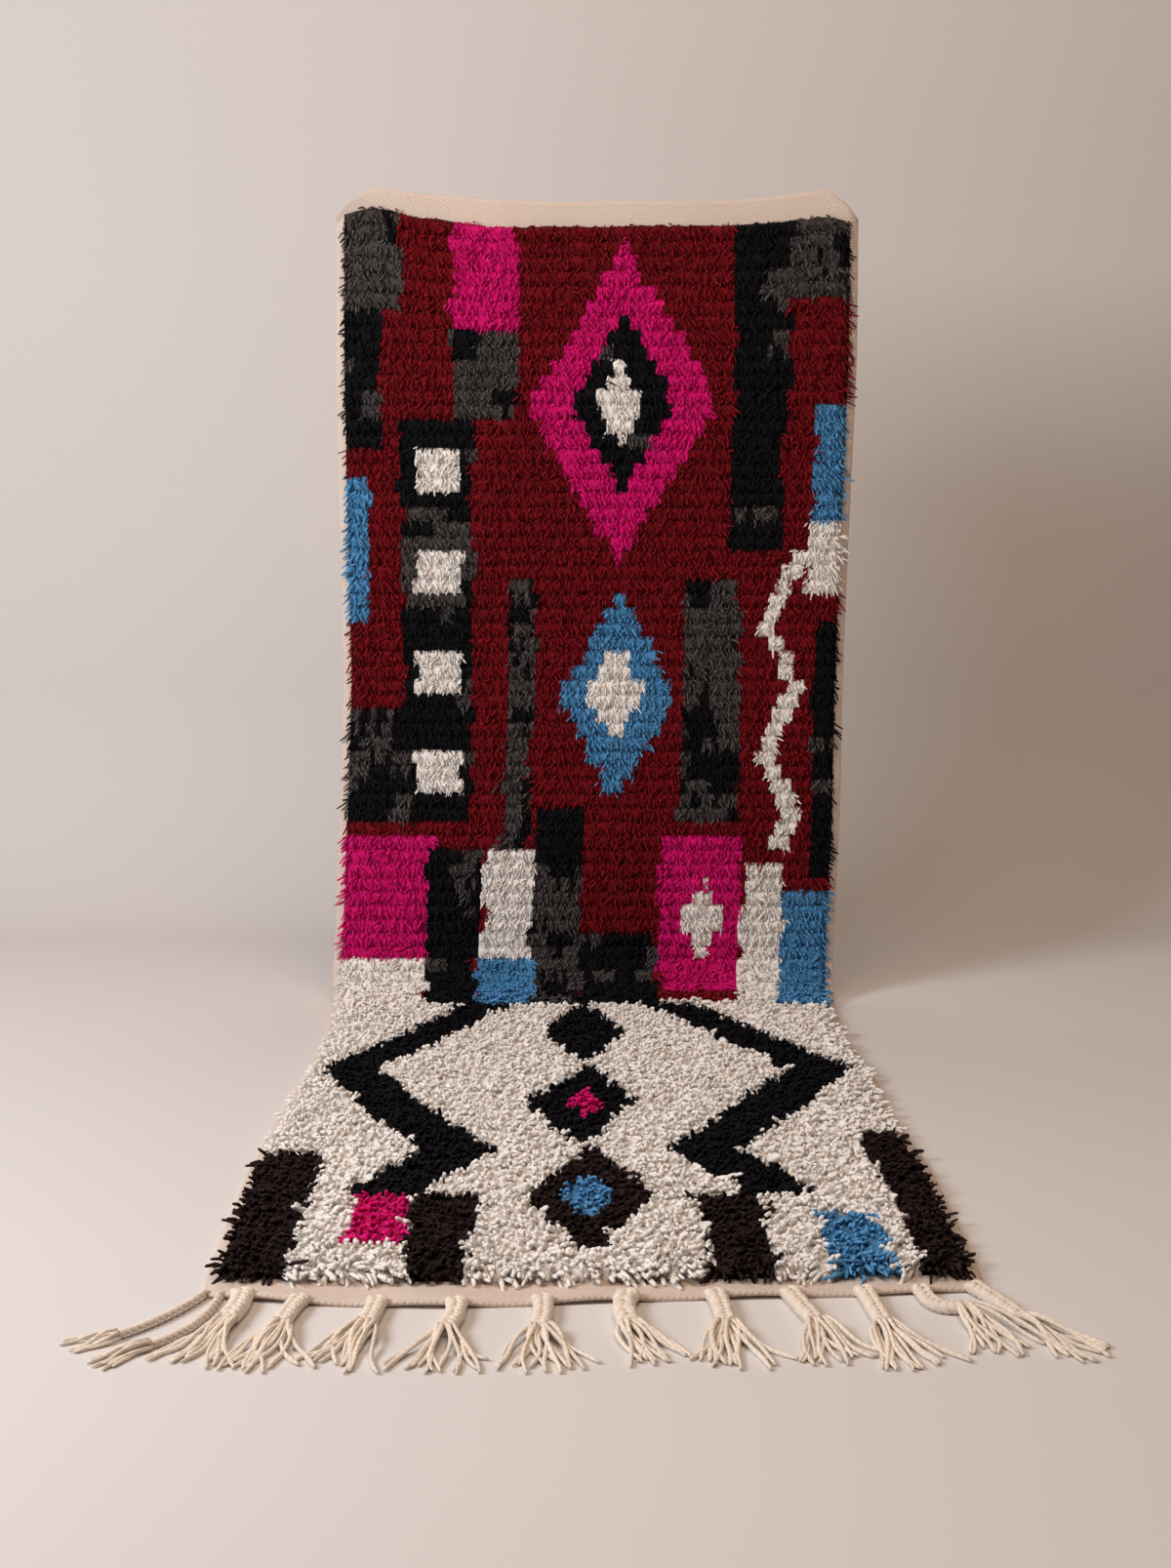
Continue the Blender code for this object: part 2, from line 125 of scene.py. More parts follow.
# The chart of the pile: what a later row of the table covers, it covers over
Block = namedtuple("Block", "left right first last wool")
Lozenge = namedtuple("Lozenge", "across row half_width half_rows wool")
Zigzag = namedtuple("Zigzag", "across swing rows first last width wool")
Ladder = namedtuple("Ladder", "left right first last every rungs wool")
WOOLS = ("dark_red", "magenta", "blue", "charcoal", "heather", "ivory", "brown")
CHART = [
    Block(-0.42, 0.42, 0, 60, "dark_red"),
    Block(-0.42, 0.42, 56, 120, "ivory"),
    # hanging half, upper panels
    Block(-0.42, -0.30, 0, 6, "heather"),
    Block(-0.42, -0.33, 6, 15, "charcoal"),
    Block(-0.22, -0.12, 0, 7, "magenta"),
    Block(-0.22, -0.12, 7, 13, "heather"),
    Lozenge(0.040, 12.0, 0.145, 11.0, "magenta"),
    Lozenge(0.040, 12.0, 0.082, 6.0, "charcoal"),
    Lozenge(0.040, 12.0, 0.040, 3.0, "ivory"),
    Block(0.21, 0.30, 0, 22, "charcoal"),
    Block(0.30, 0.42, 0, 5, "heather"),
    Block(0.34, 0.42, 12, 20, "blue"),
    Block(0.34, 0.42, 20, 25, "ivory"),
    Block(-0.42, -0.35, 17, 27, "blue"),
    Block(-0.30, -0.19, 13, 41, "charcoal"),
    Block(-0.30, -0.19, 21, 26, "heather"),
    Ladder(-0.275, -0.215, 15, 41, 7, 3, "ivory"),
    Lozenge(0.035, 32.0, 0.095, 7.5, "blue"),
    Lozenge(0.035, 32.0, 0.048, 3.6, "ivory"),
    Block(-0.135, -0.095, 24, 43, "heather"),
    Block(0.15, 0.23, 24, 41, "heather"),
    Block(0.15, 0.20, 30, 36, "charcoal"),
    Zigzag(0.300, 0.026, 9, 22, 43, 0.040, "ivory"),
    Block(0.355, 0.42, 27, 45, "charcoal"),
    # hanging half, lower panels
    Block(-0.42, -0.29, 33, 41, "heather"),
    Block(-0.42, -0.25, 42, 51, "magenta"),
    Block(-0.25, -0.17, 43, 57, "charcoal"),
    Block(-0.17, -0.08, 43, 51, "ivory"),
    Block(-0.08, 0.00, 40, 57, "heather"),
    Block(0.00, 0.12, 42, 49, "dark_red"),
    Block(0.00, 0.12, 49, 57, "charcoal"),
    Block(0.12, 0.25, 42, 54, "magenta"),
    Lozenge(0.185, 48.0, 0.038, 3.2, "ivory"),
    Block(0.25, 0.31, 44, 57, "ivory"),
    Block(0.31, 0.42, 46, 57, "blue"),
    Block(-0.42, -0.25, 51, 57, "ivory"),
    Block(-0.17, -0.08, 51, 57, "blue"),
    # lying half
    Zigzag(-0.245, 0.090, 34, 57, 99, 0.085, "charcoal"),
    Zigzag(0.235, -0.090, 34, 57, 99, 0.085, "charcoal"),
    Lozenge(-0.005, 65.0, 0.070, 8.0, "charcoal"),
    Lozenge(-0.005, 82.0, 0.074, 8.5, "charcoal"),
    Lozenge(-0.005, 82.0, 0.030, 3.4, "magenta"),
    Lozenge(-0.005, 99.0, 0.074, 8.5, "brown"),
    Lozenge(-0.005, 99.0, 0.030, 3.4, "blue"),
    Block(-0.42, -0.32, 92, 120, "brown"),
    Block(-0.20, -0.13, 99, 120, "brown"),
    Block(-0.265, -0.20, 99, 106, "magenta"),
    Block(0.12, 0.19, 99, 120, "brown"),
    Block(0.25, 0.31, 102, 120, "blue"),
    Block(0.34, 0.42, 88, 120, "brown"),
]
EDGE_WANDER = 0.008
EDGE_STEP = 0.0045
KNOTS = 92

SEED = 20

# The tassels, in the frame's own places: root across, path of the head, and how the loose ends lie
Tassel = namedtuple("Tassel", "node root mid end wide heading spread length bend")
TASSELS = [
    Tassel("tassel_01", -0.346, (-0.345, 0.028), (-0.350, 0.064), 0.021, -10, 22, 0.100, -6),
    Tassel("tassel_02", -0.287, (-0.293, 0.026), (-0.297, 0.062), 0.019, -9, 26, 0.100, 0),
    Tassel("tassel_03", -0.211, (-0.213, 0.026), (-0.216, 0.056), 0.019, -12, 30, 0.100, -3),
    Tassel("tassel_04", -0.134, (-0.134, 0.034), (-0.141, 0.068), 0.020, 0, 44, 0.090, 0),
    Tassel("tassel_05", -0.050, (-0.049, 0.034), (-0.052, 0.072), 0.020, 4, 44, 0.090, 0),
    Tassel("tassel_06", 0.034, (0.029, 0.032), (0.034, 0.072), 0.022, 17, 34, 0.082, 2),
    Tassel("tassel_07", 0.120, (0.124, 0.036), (0.126, 0.078), 0.020, 3, 40, 0.094, 0),
    Tassel("tassel_08", 0.194, (0.203, 0.038), (0.212, 0.076), 0.019, 12, 32, 0.086, -3),
    Tassel("tassel_09", 0.268, (0.272, 0.042), (0.276, 0.086), 0.019, 8, 32, 0.094, 0),
    Tassel("tassel_10", 0.326, (0.334, 0.042), (0.361, 0.046), 0.017, 14, 18, 0.110, -3),
    Tassel("tassel_11", 0.378, (0.396, 0.042), (0.410, 0.086), 0.018, 32, 24, 0.098, 3),
]
Cord = namedtuple("Cord", "node root mid end heading spread length bend")
CORDS = [
    Cord("cord_left_outer", -0.383, (-0.410, 0.058), (-0.447, 0.108), -58, 34, 0.050, 4),
    Cord("cord_left_inner", -0.368, (-0.379, 0.075), (-0.412, 0.128), -50, 30, 0.060, 8),
]
COTTON_SLOT = "cotton_warp"
WOOL_SLOT = "wool_pile"


def smooth_step(amount):
    amount = np.clip(amount, 0.0, 1.0)
    return amount * amount * (3 - 2 * amount)


def read_table(rows, key, column, at):
    """Values of a column at places between rows, in straight lines."""
    places = [getattr(row, key) for row in rows]
    return np.interp(at, places, [getattr(row, column) for row in rows])


def cloth(across, along, height):
    """Points of the cloth, as an array of X, Y, Z."""
    across, along, height = np.broadcast_arrays(
        np.asarray(across, float), np.asarray(along, float), np.asarray(height, float)
    )
    left = read_table(SIDE_EDGES, "along", "left", along)
    right = read_table(SIDE_EDGES, "along", "right", along)
    x = left + (right - left) * (across + HALF_WIDTH) / (2 * HALF_WIDTH)
    swing = np.sin(2 * math.pi * along / SLACK_LENGTH + SLACK_SKEW * across)
    slack = SLACK * swing * np.sin(math.pi * np.clip(along, 0, DROP_LENGTH) / DROP_LENGTH)
    turn = np.clip((along - DROP_LENGTH) / BEND_RADIUS, 0, math.pi / 2)
    radius = BEND_RADIUS - height
    beyond = np.maximum(along - DROP_LENGTH - ARC_LENGTH, 0)
    y = HANG_Y - BEND_RADIUS + radius * np.cos(turn) - beyond - slack
    before = np.maximum(DROP_LENGTH - along, 0)
    rise = smooth_step(1 - (CLOTH_LENGTH - along) / HEM_LIFT_OVER)
    wave = 0.5 + 0.5 * np.cos(2 * math.pi * across / HEM_LIFT_PITCH)
    z = BEND_RADIUS - radius * np.sin(turn) + before + HEM_LIFT * rise * wave
    return np.stack([x, y, z], axis=-1)


def shaped_along(across, along, column):
    """Even places along the cloth, moved by the shapes of the top edge and of the hem."""
    near_top = (1 - smooth_step(along / TOP_BLEND)) * read_table(TOP_SHAPE, "across", column, across)
    to_hem = 1 - smooth_step((CLOTH_LENGTH - along) / HEM_BLEND)
    return along - near_top + to_hem * read_table(HEM_SHAPE, "across", column, across)


def band_along(across, along):
    """Places along the cloth where the end bands pass from the pile's line to the cloth's edge."""
    share_top = np.clip(1 - along / TOP_BAND, 0, 1)
    share_hem = np.clip((along - PILE_END) / HEM_BAND, 0, 1)
    to_edge = np.maximum(share_top, share_hem)
    inner = shaped_along(across, along, "pile")
    outer = shaped_along(across, along, "edge")
    return inner + (outer - inner) * to_edge


def add_mesh(name, points, faces, layers=None, uvs=None, smooth=True):
    """An object from arrays: faces is a list of arrays, each with one number of corners."""
    mesh = bpy.data.meshes.new(name)
    mesh.vertices.add(len(points))
    mesh.vertices.foreach_set("co", np.ascontiguousarray(points, np.float32).ravel())
    corners = np.concatenate([part.ravel() for part in faces]).astype(np.int32)
    sizes = np.concatenate([np.full(len(part), part.shape[1]) for part in faces])
    starts = np.concatenate([[0], np.cumsum(sizes)[:-1]]).astype(np.int32)
    mesh.loops.add(len(corners))
    mesh.loops.foreach_set("vertex_index", corners)
    mesh.polygons.add(len(sizes))
    mesh.polygons.foreach_set("loop_start", starts)
    mesh.polygons.foreach_set("use_smooth", np.full(len(sizes), smooth))
    mesh.update(calc_edges=True)
    if uvs is not None:
        layer = mesh.uv_layers.new(name="yarn")
        flat = np.concatenate([part.reshape(-1, 2) for part in uvs]).astype(np.float32)
        layer.uv.foreach_set("vector", flat.ravel())
    for key, values in (layers or {}).items():
        attribute = mesh.attributes.new(key, "FLOAT", "POINT")
        attribute.data.foreach_set("value", np.ascontiguousarray(values, np.float32))
    mesh.validate()
    item = bpy.data.objects.new(name, mesh)
    bpy.context.scene.collection.objects.link(item)
    return item


def tube_faces(count, rings, sides, closed_root=False):
    """Faces of many like tubes laid one after another: quads round each, and a cap on its tip."""
    base = np.arange(count)[:, None, None] * rings * sides
    ring = np.arange(rings - 1)[None, :, None] * sides
    turn = np.arange(sides)[None, None, :]
    after = (turn + 1) % sides
    quads = np.stack(
        np.broadcast_arrays(base + ring + turn, base + ring + after, base + ring + sides + after,
                            base + ring + sides + turn),
        axis=-1,
    ).reshape(-1, 4)
    tip = (base[:, 0] + (rings - 1) * sides + turn[0]).reshape(count, sides)
    parts = [quads, tip]
    if closed_root:
        parts.append((base[:, 0] + turn[0]).reshape(count, sides)[:, ::-1])
    return parts


def tube_uvs(count, rings, sides, around, length, closed_root=False):
    """Corner places in centimetres round and along each tube. length has a row of ring places for each."""
    turn = np.arange(sides + 1) / sides
    u = np.broadcast_to((turn * around * 100)[None, None, :], (count, rings, sides + 1))
    v = np.broadcast_to((length * 100)[:, :, None], (count, rings, sides + 1))
    grid = np.stack([u, v], axis=-1)
    quads = np.stack(
        [grid[:, :-1, :-1], grid[:, :-1, 1:], grid[:, 1:, 1:], grid[:, 1:, :-1]], axis=-2
    ).reshape(-1, 4, 2)
    cap = grid[:, -1, :-1].reshape(count, sides, 2)
    parts = [quads, cap]
    if closed_root:
        parts.append(grid[:, 0, :-1].reshape(count, sides, 2)[:, ::-1])
    return parts


# Wool pile


def ragged(rng, rows, amount):
    """A shape's edge, row by row: a slow wander with a step at each row."""
    walk = np.cumsum(rng.normal(0, 0.45, rows))
    walk -= np.linspace(walk[0], walk[-1], rows)
    walk = walk / (np.abs(walk).max() + 1e-6) * amount
    return walk + rng.uniform(-1, 1, rows) * EDGE_STEP


def chart_wool(across, row):
    """Number of the wool at each knot, from the chart's blocks, lozenges, zigzags and ladders."""
    rng = np.random.default_rng(SEED)
    found = np.zeros(across.shape, int)
    index = np.clip(row, 0, PILE_ROWS - 1)
    for shape in CHART:
        left_wander = ragged(rng, PILE_ROWS, EDGE_WANDER)[index]
        right_wander = ragged(rng, PILE_ROWS, EDGE_WANDER)[index]
        if isinstance(shape, Block):
            inside = (row >= shape.first) & (row < shape.last)
            left, right = shape.left, shape.right
        elif isinstance(shape, Lozenge):
            reach = shape.half_width * (1 - np.abs(row + 0.5 - shape.row) / shape.half_rows)
            inside = reach > 0.004
            left, right = shape.across - reach, shape.across + reach
        elif isinstance(shape, Zigzag):
            inside = (row >= shape.first) & (row < shape.last)
            phase = (row - shape.first) / shape.rows % 1.0
            middle = shape.across + shape.swing * (4 * np.abs(phase - 0.5) - 1)
            left, right = middle - shape.width / 2, middle + shape.width / 2
        else:
            inside = (row >= shape.first) & (row < shape.last)
            inside &= (row - shape.first) % shape.every < shape.rungs
            left, right = shape.left, shape.right
        inside &= (across > left + left_wander) & (across < right + right_wander)
        found[inside] = WOOLS.index(shape.wool)
    return found


def value_noise(rng, across, row, width, rows):
    """Soft patches, each about width across and some rows high."""
    grid = rng.uniform(0, 1, (int(PILE_ROWS / rows) + 3, int(0.9 / width) + 3))
    u = (across + 0.45) / width
    v = (row + 2) / rows
    i, j = np.floor(v).astype(int), np.floor(u).astype(int)
    fu, fv = smooth_step(u - j), smooth_step(v - i)
    top = grid[i, j] * (1 - fu) + grid[i, j + 1] * fu
    low = grid[i + 1, j] * (1 - fu) + grid[i + 1, j + 1] * fu
    return top * (1 - fv) + low * fv


Chart = namedtuple("Chart", "wool tone lean nod")


def tie_chart():
    """Wool, tone and lean of every knot, row by row."""
    rng = np.random.default_rng(SEED)
    row, knot = np.mgrid[0:PILE_ROWS, 0:KNOTS]
    across = ((knot + 0.5) / KNOTS * 2 - 1) * PILE_HALF
    wool = chart_wool(across, row)
    patches = value_noise(rng, across, row, 0.052, 1.6)
    luck = rng.uniform(0, 1, row.shape)
    heather, charcoal = wool == WOOLS.index("heather"), wool == WOOLS.index("charcoal")
    hung = row < HUNG_ROWS
    wool = np.where(heather & (patches + 0.3 * (luck - 0.5) < 0.34), WOOLS.index("charcoal"), wool)
    wool = np.where(charcoal & hung & (patches + 0.2 * (luck - 0.5) > 0.80), WOOLS.index("heather"), wool)
    slow = value_noise(rng, across, row, 0.15, 5.0)
    tone = 0.40 * luck + 0.35 * slow + 0.25 * value_noise(rng, across, row, 0.04, 1.2)
    lean = rng.normal(0, 0.30, row.shape) + 0.5 * (value_noise(rng, across, row, 0.07, 2.0) - 0.5)
    nod = rng.normal(0, 0.16, row.shape)
    return Chart(wool, tone, lean, nod)


def roll_height(phase):
    """Height of the rolls of knots over the cloth's back: low at each row's start, full in its middle."""
    return ROLL_LOW + ROLL_RISE * np.abs(np.sin(math.pi * np.clip(phase, 0, 1))) ** 0.7


def rim_drop(across):
    """Share of the pile's height that is left near a selvedge."""
    return 1 - 0.45 * smooth_step((np.abs(across) - (PILE_HALF - 0.012)) / 0.012)


Layer = namedtuple("Layer", "phase ends length rise fall")
HUNG_LAYERS = (
    Layer(0.10, 168, 0.0130, (0.00, 0.95), (0.95, 0.30)),
    Layer(0.42, 160, 0.0125, (0.35, 0.80), (1.00, -0.10)),
    Layer(0.74, 168, 0.0125, (0.60, 0.60), (1.00, -0.35)),
)
LAID_LAYERS = (
    Layer(0.14, 124, 0.0140, (0.35, 0.90), (1.00, 0.20)),
    Layer(0.58, 124, 0.0145, (0.55, 0.75), (1.00, -0.02)),
)
FRONT_LAYERS = (
    Layer(0.86, 124, 0.0165, (0.80, 0.62), (1.00, -0.32)),
    Layer(0.97, 118, 0.0160, (0.95, 0.40), (1.00, -0.25)),
)


WOOL_STRAY = 0.0013
PHASE_STRAY = 0.07
SIDE_LEAN = 0.62
SIDE_LEAN_OVER = 0.020


def tie_ends(rng, chart, first_row, last_row, layer, thick, scatter):
    """Every yarn end of one layer of some rows: its root, way out, way at its tip, wool and tone."""
    rows = np.repeat(np.arange(first_row, last_row), layer.ends)
    count = len(rows)
    step = 2 * PILE_HALF / layer.ends
    across = -PILE_HALF + (np.tile(np.arange(layer.ends) + 0.5, last_row - first_row)) * step
    across = across + rng.uniform(-0.5, 0.5, count) * step
    knot = ((across + rng.normal(0, WOOL_STRAY, count)) / PILE_HALF + 1) / 2 * KNOTS
    knot = np.clip(knot.astype(int), 0, KNOTS - 1)
    phase = layer.phase + rng.normal(0, PHASE_STRAY, count)
    line = TOP_BAND + (rows + phase) * ROW_PITCH
    height = (roll_height(phase) - ROLL_UNDER) * rim_drop(across)
    base = np.stack([across, shaped_along(across, line, "pile"), height], axis=-1)
    inside = PILE_HALF - SIDE_LEAN_OVER
    edge = smooth_step((np.abs(across) - inside) / SIDE_LEAN_OVER) * np.sign(across)
    lean = chart.lean[rows, knot] + SIDE_LEAN * edge
    rise = np.array([0.0, *layer.rise]) + rng.normal(0, 0.20, (count, 3))
    fall = np.array([0.0, *layer.fall]) + rng.normal(0, scatter, (count, 3))
    rise[:, 0] += 0.5 * lean
    fall[:, 0] += 1.2 * lean
    fall[:, 2] += chart.nod[rows, knot]
    rise /= np.linalg.norm(rise, axis=-1, keepdims=True)
    length = layer.length * (1 + 0.20 * rng.normal(0, 1, count)).clip(0.55, 1.5)
    wool = chart.wool[rows, knot]
    tone = 0.55 * chart.tone[rows, knot] + 0.45 * rng.uniform(0, 1, count)
    size = thick * (1 + 0.14 * rng.normal(0, 1, count)).clip(0.7, 1.35)
    return base, rise, fall, length, size, wool, tone, rows


def yarn_ends(rng, base, rise, fall, length, size, sides, rings):
    """Points of many yarn ends, ring by ring and then the tip, with places along each."""
    share = np.linspace(0, 0.90, rings)
    step = share[None, :, None]
    reach = length[:, None, None]
    line = base[:, None] + reach * (rise[:, None] * step + (fall - rise)[:, None] * step**2 / 2)
    tip = base + length[:, None] * (rise + (fall - rise) / 2)
    way = rise[:, None] * (1 - step) + fall[:, None] * step
    way /= np.linalg.norm(way, axis=-1, keepdims=True) + 1e-9
    side = np.cross(rise, fall)
    side /= np.linalg.norm(side, axis=-1, keepdims=True) + 1e-9
    side = np.broadcast_to(side[:, None], way.shape)
    up = np.cross(side, way)
    turn = 2 * math.pi * np.arange(sides) / sides + rng.uniform(0, 2 * math.pi, (len(base), 1))
    taper = np.interp(share, (0.0, 0.45, 0.90), (0.42, 0.52, 0.40))
    radius = size[:, None] * taper[None, :]
    ring = (
        line[:, :, None]
        + (radius[:, :, None] * np.cos(turn)[:, None, :])[..., None] * side[:, :, None]
        + (radius[:, :, None] * np.sin(turn)[:, None, :])[..., None] * up[:, :, None]
    )
    points = np.concatenate([ring.reshape(len(base), rings * sides, 3), tip[:, None]], axis=1)
    return points, share


def end_faces(count, rings, sides):
    """Faces of yarn ends: sides, root cap and tip."""
    size = rings * sides + 1
    base = np.arange(count)[:, None, None] * size
    ring = np.arange(rings - 1)[None, :, None] * sides
    turn = np.arange(sides)[None, None, :]
    after = (turn + 1) % sides
    quads = np.stack(
        np.broadcast_arrays(base + ring + turn, base + ring + after, base + ring + sides + after,
                            base + ring + sides + turn),
        axis=-1,
    ).reshape(-1, 4)
    last = (rings - 1) * sides
    base = base[:, 0]
    turn, after = turn[0], after[0]
    tips = np.stack(
        np.broadcast_arrays(base + last + turn, base + last + after, base + size - 1), axis=-1
    ).reshape(-1, 3)
    root = (base + turn)[:, ::-1]
    return quads, tips, root


def end_uvs(length, share, sides, around):
    """Places in centimetres round and along each yarn end, for the faces of end_faces."""
    count, rings = len(length), len(share)
    turn = np.arange(sides + 1) / sides * around * 100
    along = length[:, None] * share[None, :] * 100
    grid = np.stack(
        np.broadcast_arrays(turn[None, None, :], along[:, :, None]), axis=-1
    )
    quads = np.stack([grid[:, :-1, :-1], grid[:, :-1, 1:], grid[:, 1:, 1:], grid[:, 1:, :-1]], axis=-2)
    top = grid[:, -1]
    tip_around = top[:, :-1, 0] / 2 + top[:, 1:, 0] / 2
    tip = np.stack([tip_around, np.broadcast_to(length[:, None] * 100, (count, sides))], axis=-1)
    tips = np.stack([top[:, :-1], top[:, 1:], tip], axis=-2)
    root = grid[:, 0, :-1][:, ::-1]
    return quads.reshape(-1, 4, 2), tips.reshape(-1, 3, 2), root


def wool_piece(name, wool, bundles):
    """One joined mesh of yarn ends in one wool, from bundles that may differ in their sides and rings."""
    points, faces, uvs, tones, reaches = [], [], [], [], []
    at = 0
    for cloth_points, share, length, tone, sides, around in bundles:
        count, size = cloth_points.shape[:2]
        world = cloth(cloth_points[..., 0], cloth_points[..., 1], cloth_points[..., 2])
        points.append(world.reshape(-1, 3))
        rings = len(share)
        faces += [part + at for part in end_faces(count, rings, sides)]
        uvs += list(end_uvs(length, share, sides, around))
        tones.append(np.repeat(tone, size))
        reaches.append(np.tile(np.append(np.repeat(share / 0.9, sides), 1.0), count))
        at += count * size
    layers = {"tone": np.concatenate(tones), "reach": np.concatenate(reaches)}
    item = add_mesh(name, np.concatenate(points), faces, layers, uvs)
    item.data.materials.append(bpy.data.materials["wool_" + wool])
    return item


# Materials


def new_material(name):
    material = bpy.data.materials.new(name)
    material.use_nodes = True
    return material, material.node_tree, material.node_tree.nodes["Principled BSDF"]


def group_sockets(group, inputs, outputs):
    """Named sockets of a shader node group: (name, type, default)."""
    for name, kind, default in inputs:
        socket = group.interface.new_socket(name=name, in_out="INPUT", socket_type=kind)
        if default is not None:
            socket.default_value = default
    for name, kind in outputs:
        group.interface.new_socket(name=name, in_out="OUTPUT", socket_type=kind)


def math_node(tree, operation, first, second=None, third=None, clamp=False):
    """A math node whose inputs are sockets or numbers; returns its output."""
    node = tree.nodes.new("ShaderNodeMath")
    node.operation = operation
    node.use_clamp = clamp
    for index, value in enumerate((first, second, third)):
        if value is None:
            continue
        if isinstance(value, (int, float)):
            node.inputs[index].default_value = value
        else:
            tree.links.new(value, node.inputs[index])
    return node.outputs[0]


def mix_node(tree, factor, first, second, blend="MIX"):
    """A colour mix whose inputs are sockets or colours; returns its output."""
    node = tree.nodes.new("ShaderNodeMix")
    node.data_type = "RGBA"
    node.blend_type = blend
    for socket, value in ((node.inputs[0], factor), (node.inputs[6], first), (node.inputs[7], second)):
        if isinstance(value, (int, float)):
            socket.default_value = value
        elif isinstance(value, (tuple, list)):
            socket.default_value = (*value[:3], 1.0)
        else:
            tree.links.new(value, socket)
    return node.outputs[2]


def attribute_value(tree, name):
    node = tree.nodes.new("ShaderNodeAttribute")
    node.attribute_name = name
    return node.outputs["Fac"]


def noise_node(tree, vector, scale, detail=2.0, roughness=0.5):
    node = tree.nodes.new("ShaderNodeTexNoise")
    node.inputs["Scale"].default_value = scale
    node.inputs["Detail"].default_value = detail
    node.inputs["Roughness"].default_value = roughness
    if vector is not None:
        tree.links.new(vector, node.inputs["Vector"])
    return node.outputs["Fac"]


def yarn_group():
    """Spun wool or cotton: plies that wind round the yarn, and fine fibres, from the yarn's own UV; the colour
    is darkened towards the root and in the gaps between plies as painted shade.
    """
    group = bpy.data.node_groups.new("Spun Yarn", "ShaderNodeTree")
    group_sockets(
        group,
        (
            ("Colour", "NodeSocketColor", (0.5, 0.5, 0.5, 1)),
            ("Light Fibre", "NodeSocketColor", (0.8, 0.8, 0.8, 1)),
            ("Deep Colour", "NodeSocketColor", (0.1, 0.1, 0.1, 1)),
            ("Tone", "NodeSocketFloat", 0.5),
            ("Reach", "NodeSocketFloat", 1.0),
            ("Unevenness", "NodeSocketFloat", 0.6),
            ("Ply Twist", "NodeSocketFloat", 2.2),
            ("Ply Depth", "NodeSocketFloat", 0.5),
            ("Fibre Mix", "NodeSocketFloat", 0.25),
        ),
        (("Colour", "NodeSocketColor"), ("Height", "NodeSocketFloat"), ("Roughness", "NodeSocketFloat")),
    )
    nodes, links = group.nodes, group.links
    given = nodes.new("NodeGroupInput")
    put = nodes.new("NodeGroupOutput")
    place = nodes.new("ShaderNodeUVMap")
    place.uv_map = "yarn"
    split = nodes.new("ShaderNodeSeparateXYZ")
    links.new(place.outputs[0], split.inputs[0])
    slant = math_node(group, "MULTIPLY", split.outputs["Y"], given.outputs["Ply Twist"])
    turn = math_node(group, "ADD", math_node(group, "MULTIPLY", split.outputs["X"], 1.6), slant)
    ply = math_node(group, "SINE", math_node(group, "MULTIPLY", turn, 2 * math.pi))
    ply = math_node(group, "MULTIPLY_ADD", ply, 0.5, 0.5)
    stretch = nodes.new("ShaderNodeVectorMath")
    stretch.operation = "MULTIPLY"
    stretch.inputs[1].default_value = (14.0, 2.2, 1.0)
    links.new(place.outputs[0], stretch.inputs[0])
    shift = nodes.new("ShaderNodeVectorMath")
    shift.operation = "ADD"
    links.new(stretch.outputs[0], shift.inputs[0])
    offset = nodes.new("ShaderNodeCombineXYZ")
    links.new(math_node(group, "MULTIPLY", given.outputs["Tone"], 37.0), offset.inputs["X"])
    links.new(math_node(group, "MULTIPLY", given.outputs["Tone"], 91.0), offset.inputs["Y"])
    links.new(offset.outputs[0], shift.inputs[1])
    fibre = noise_node(group, shift.outputs[0], 1.0, 3.0, 0.65)
    light = math_node(group, "SUBTRACT", fibre, 0.52)
    light = math_node(group, "MULTIPLY", light, 5.0, clamp=True)
    light = math_node(group, "MULTIPLY", light, given.outputs["Fibre Mix"])
    toned = math_node(group, "SUBTRACT", given.outputs["Tone"], 0.5)
    toned = math_node(group, "MULTIPLY_ADD", toned, given.outputs["Unevenness"], 1.0)
    combine = nodes.new("ShaderNodeCombineColor")
    for index in range(3):
        links.new(toned, combine.inputs[index])
    colour = mix_node(group, 1.0, given.outputs["Colour"], combine.outputs[0], "MULTIPLY")
    colour = mix_node(group, light, colour, given.outputs["Light Fibre"])
    # painted shade: the colour goes to the shade colour towards the root of each end and in the gaps between the
    # plies, where shade would fall
    deep = math_node(group, "SUBTRACT", 1.0, given.outputs["Reach"])
    deep = math_node(group, "POWER", deep, 1.5)
    gap = math_node(group, "MULTIPLY", math_node(group, "SUBTRACT", 1.0, ply), given.outputs["Ply Depth"])
    deep = math_node(group, "ADD", deep, math_node(group, "MULTIPLY", gap, 0.55), clamp=True)
    colour = mix_node(group, deep, colour, given.outputs["Deep Colour"])
    links.new(colour, put.inputs["Colour"])
    fuzz = math_node(group, "MULTIPLY", fibre, 0.7)
    height = math_node(group, "MULTIPLY_ADD", ply, given.outputs["Ply Depth"], fuzz)
    links.new(height, put.inputs["Height"])
    links.new(math_node(group, "MULTIPLY_ADD", fibre, 0.2, 0.78), put.inputs["Roughness"])
    return group


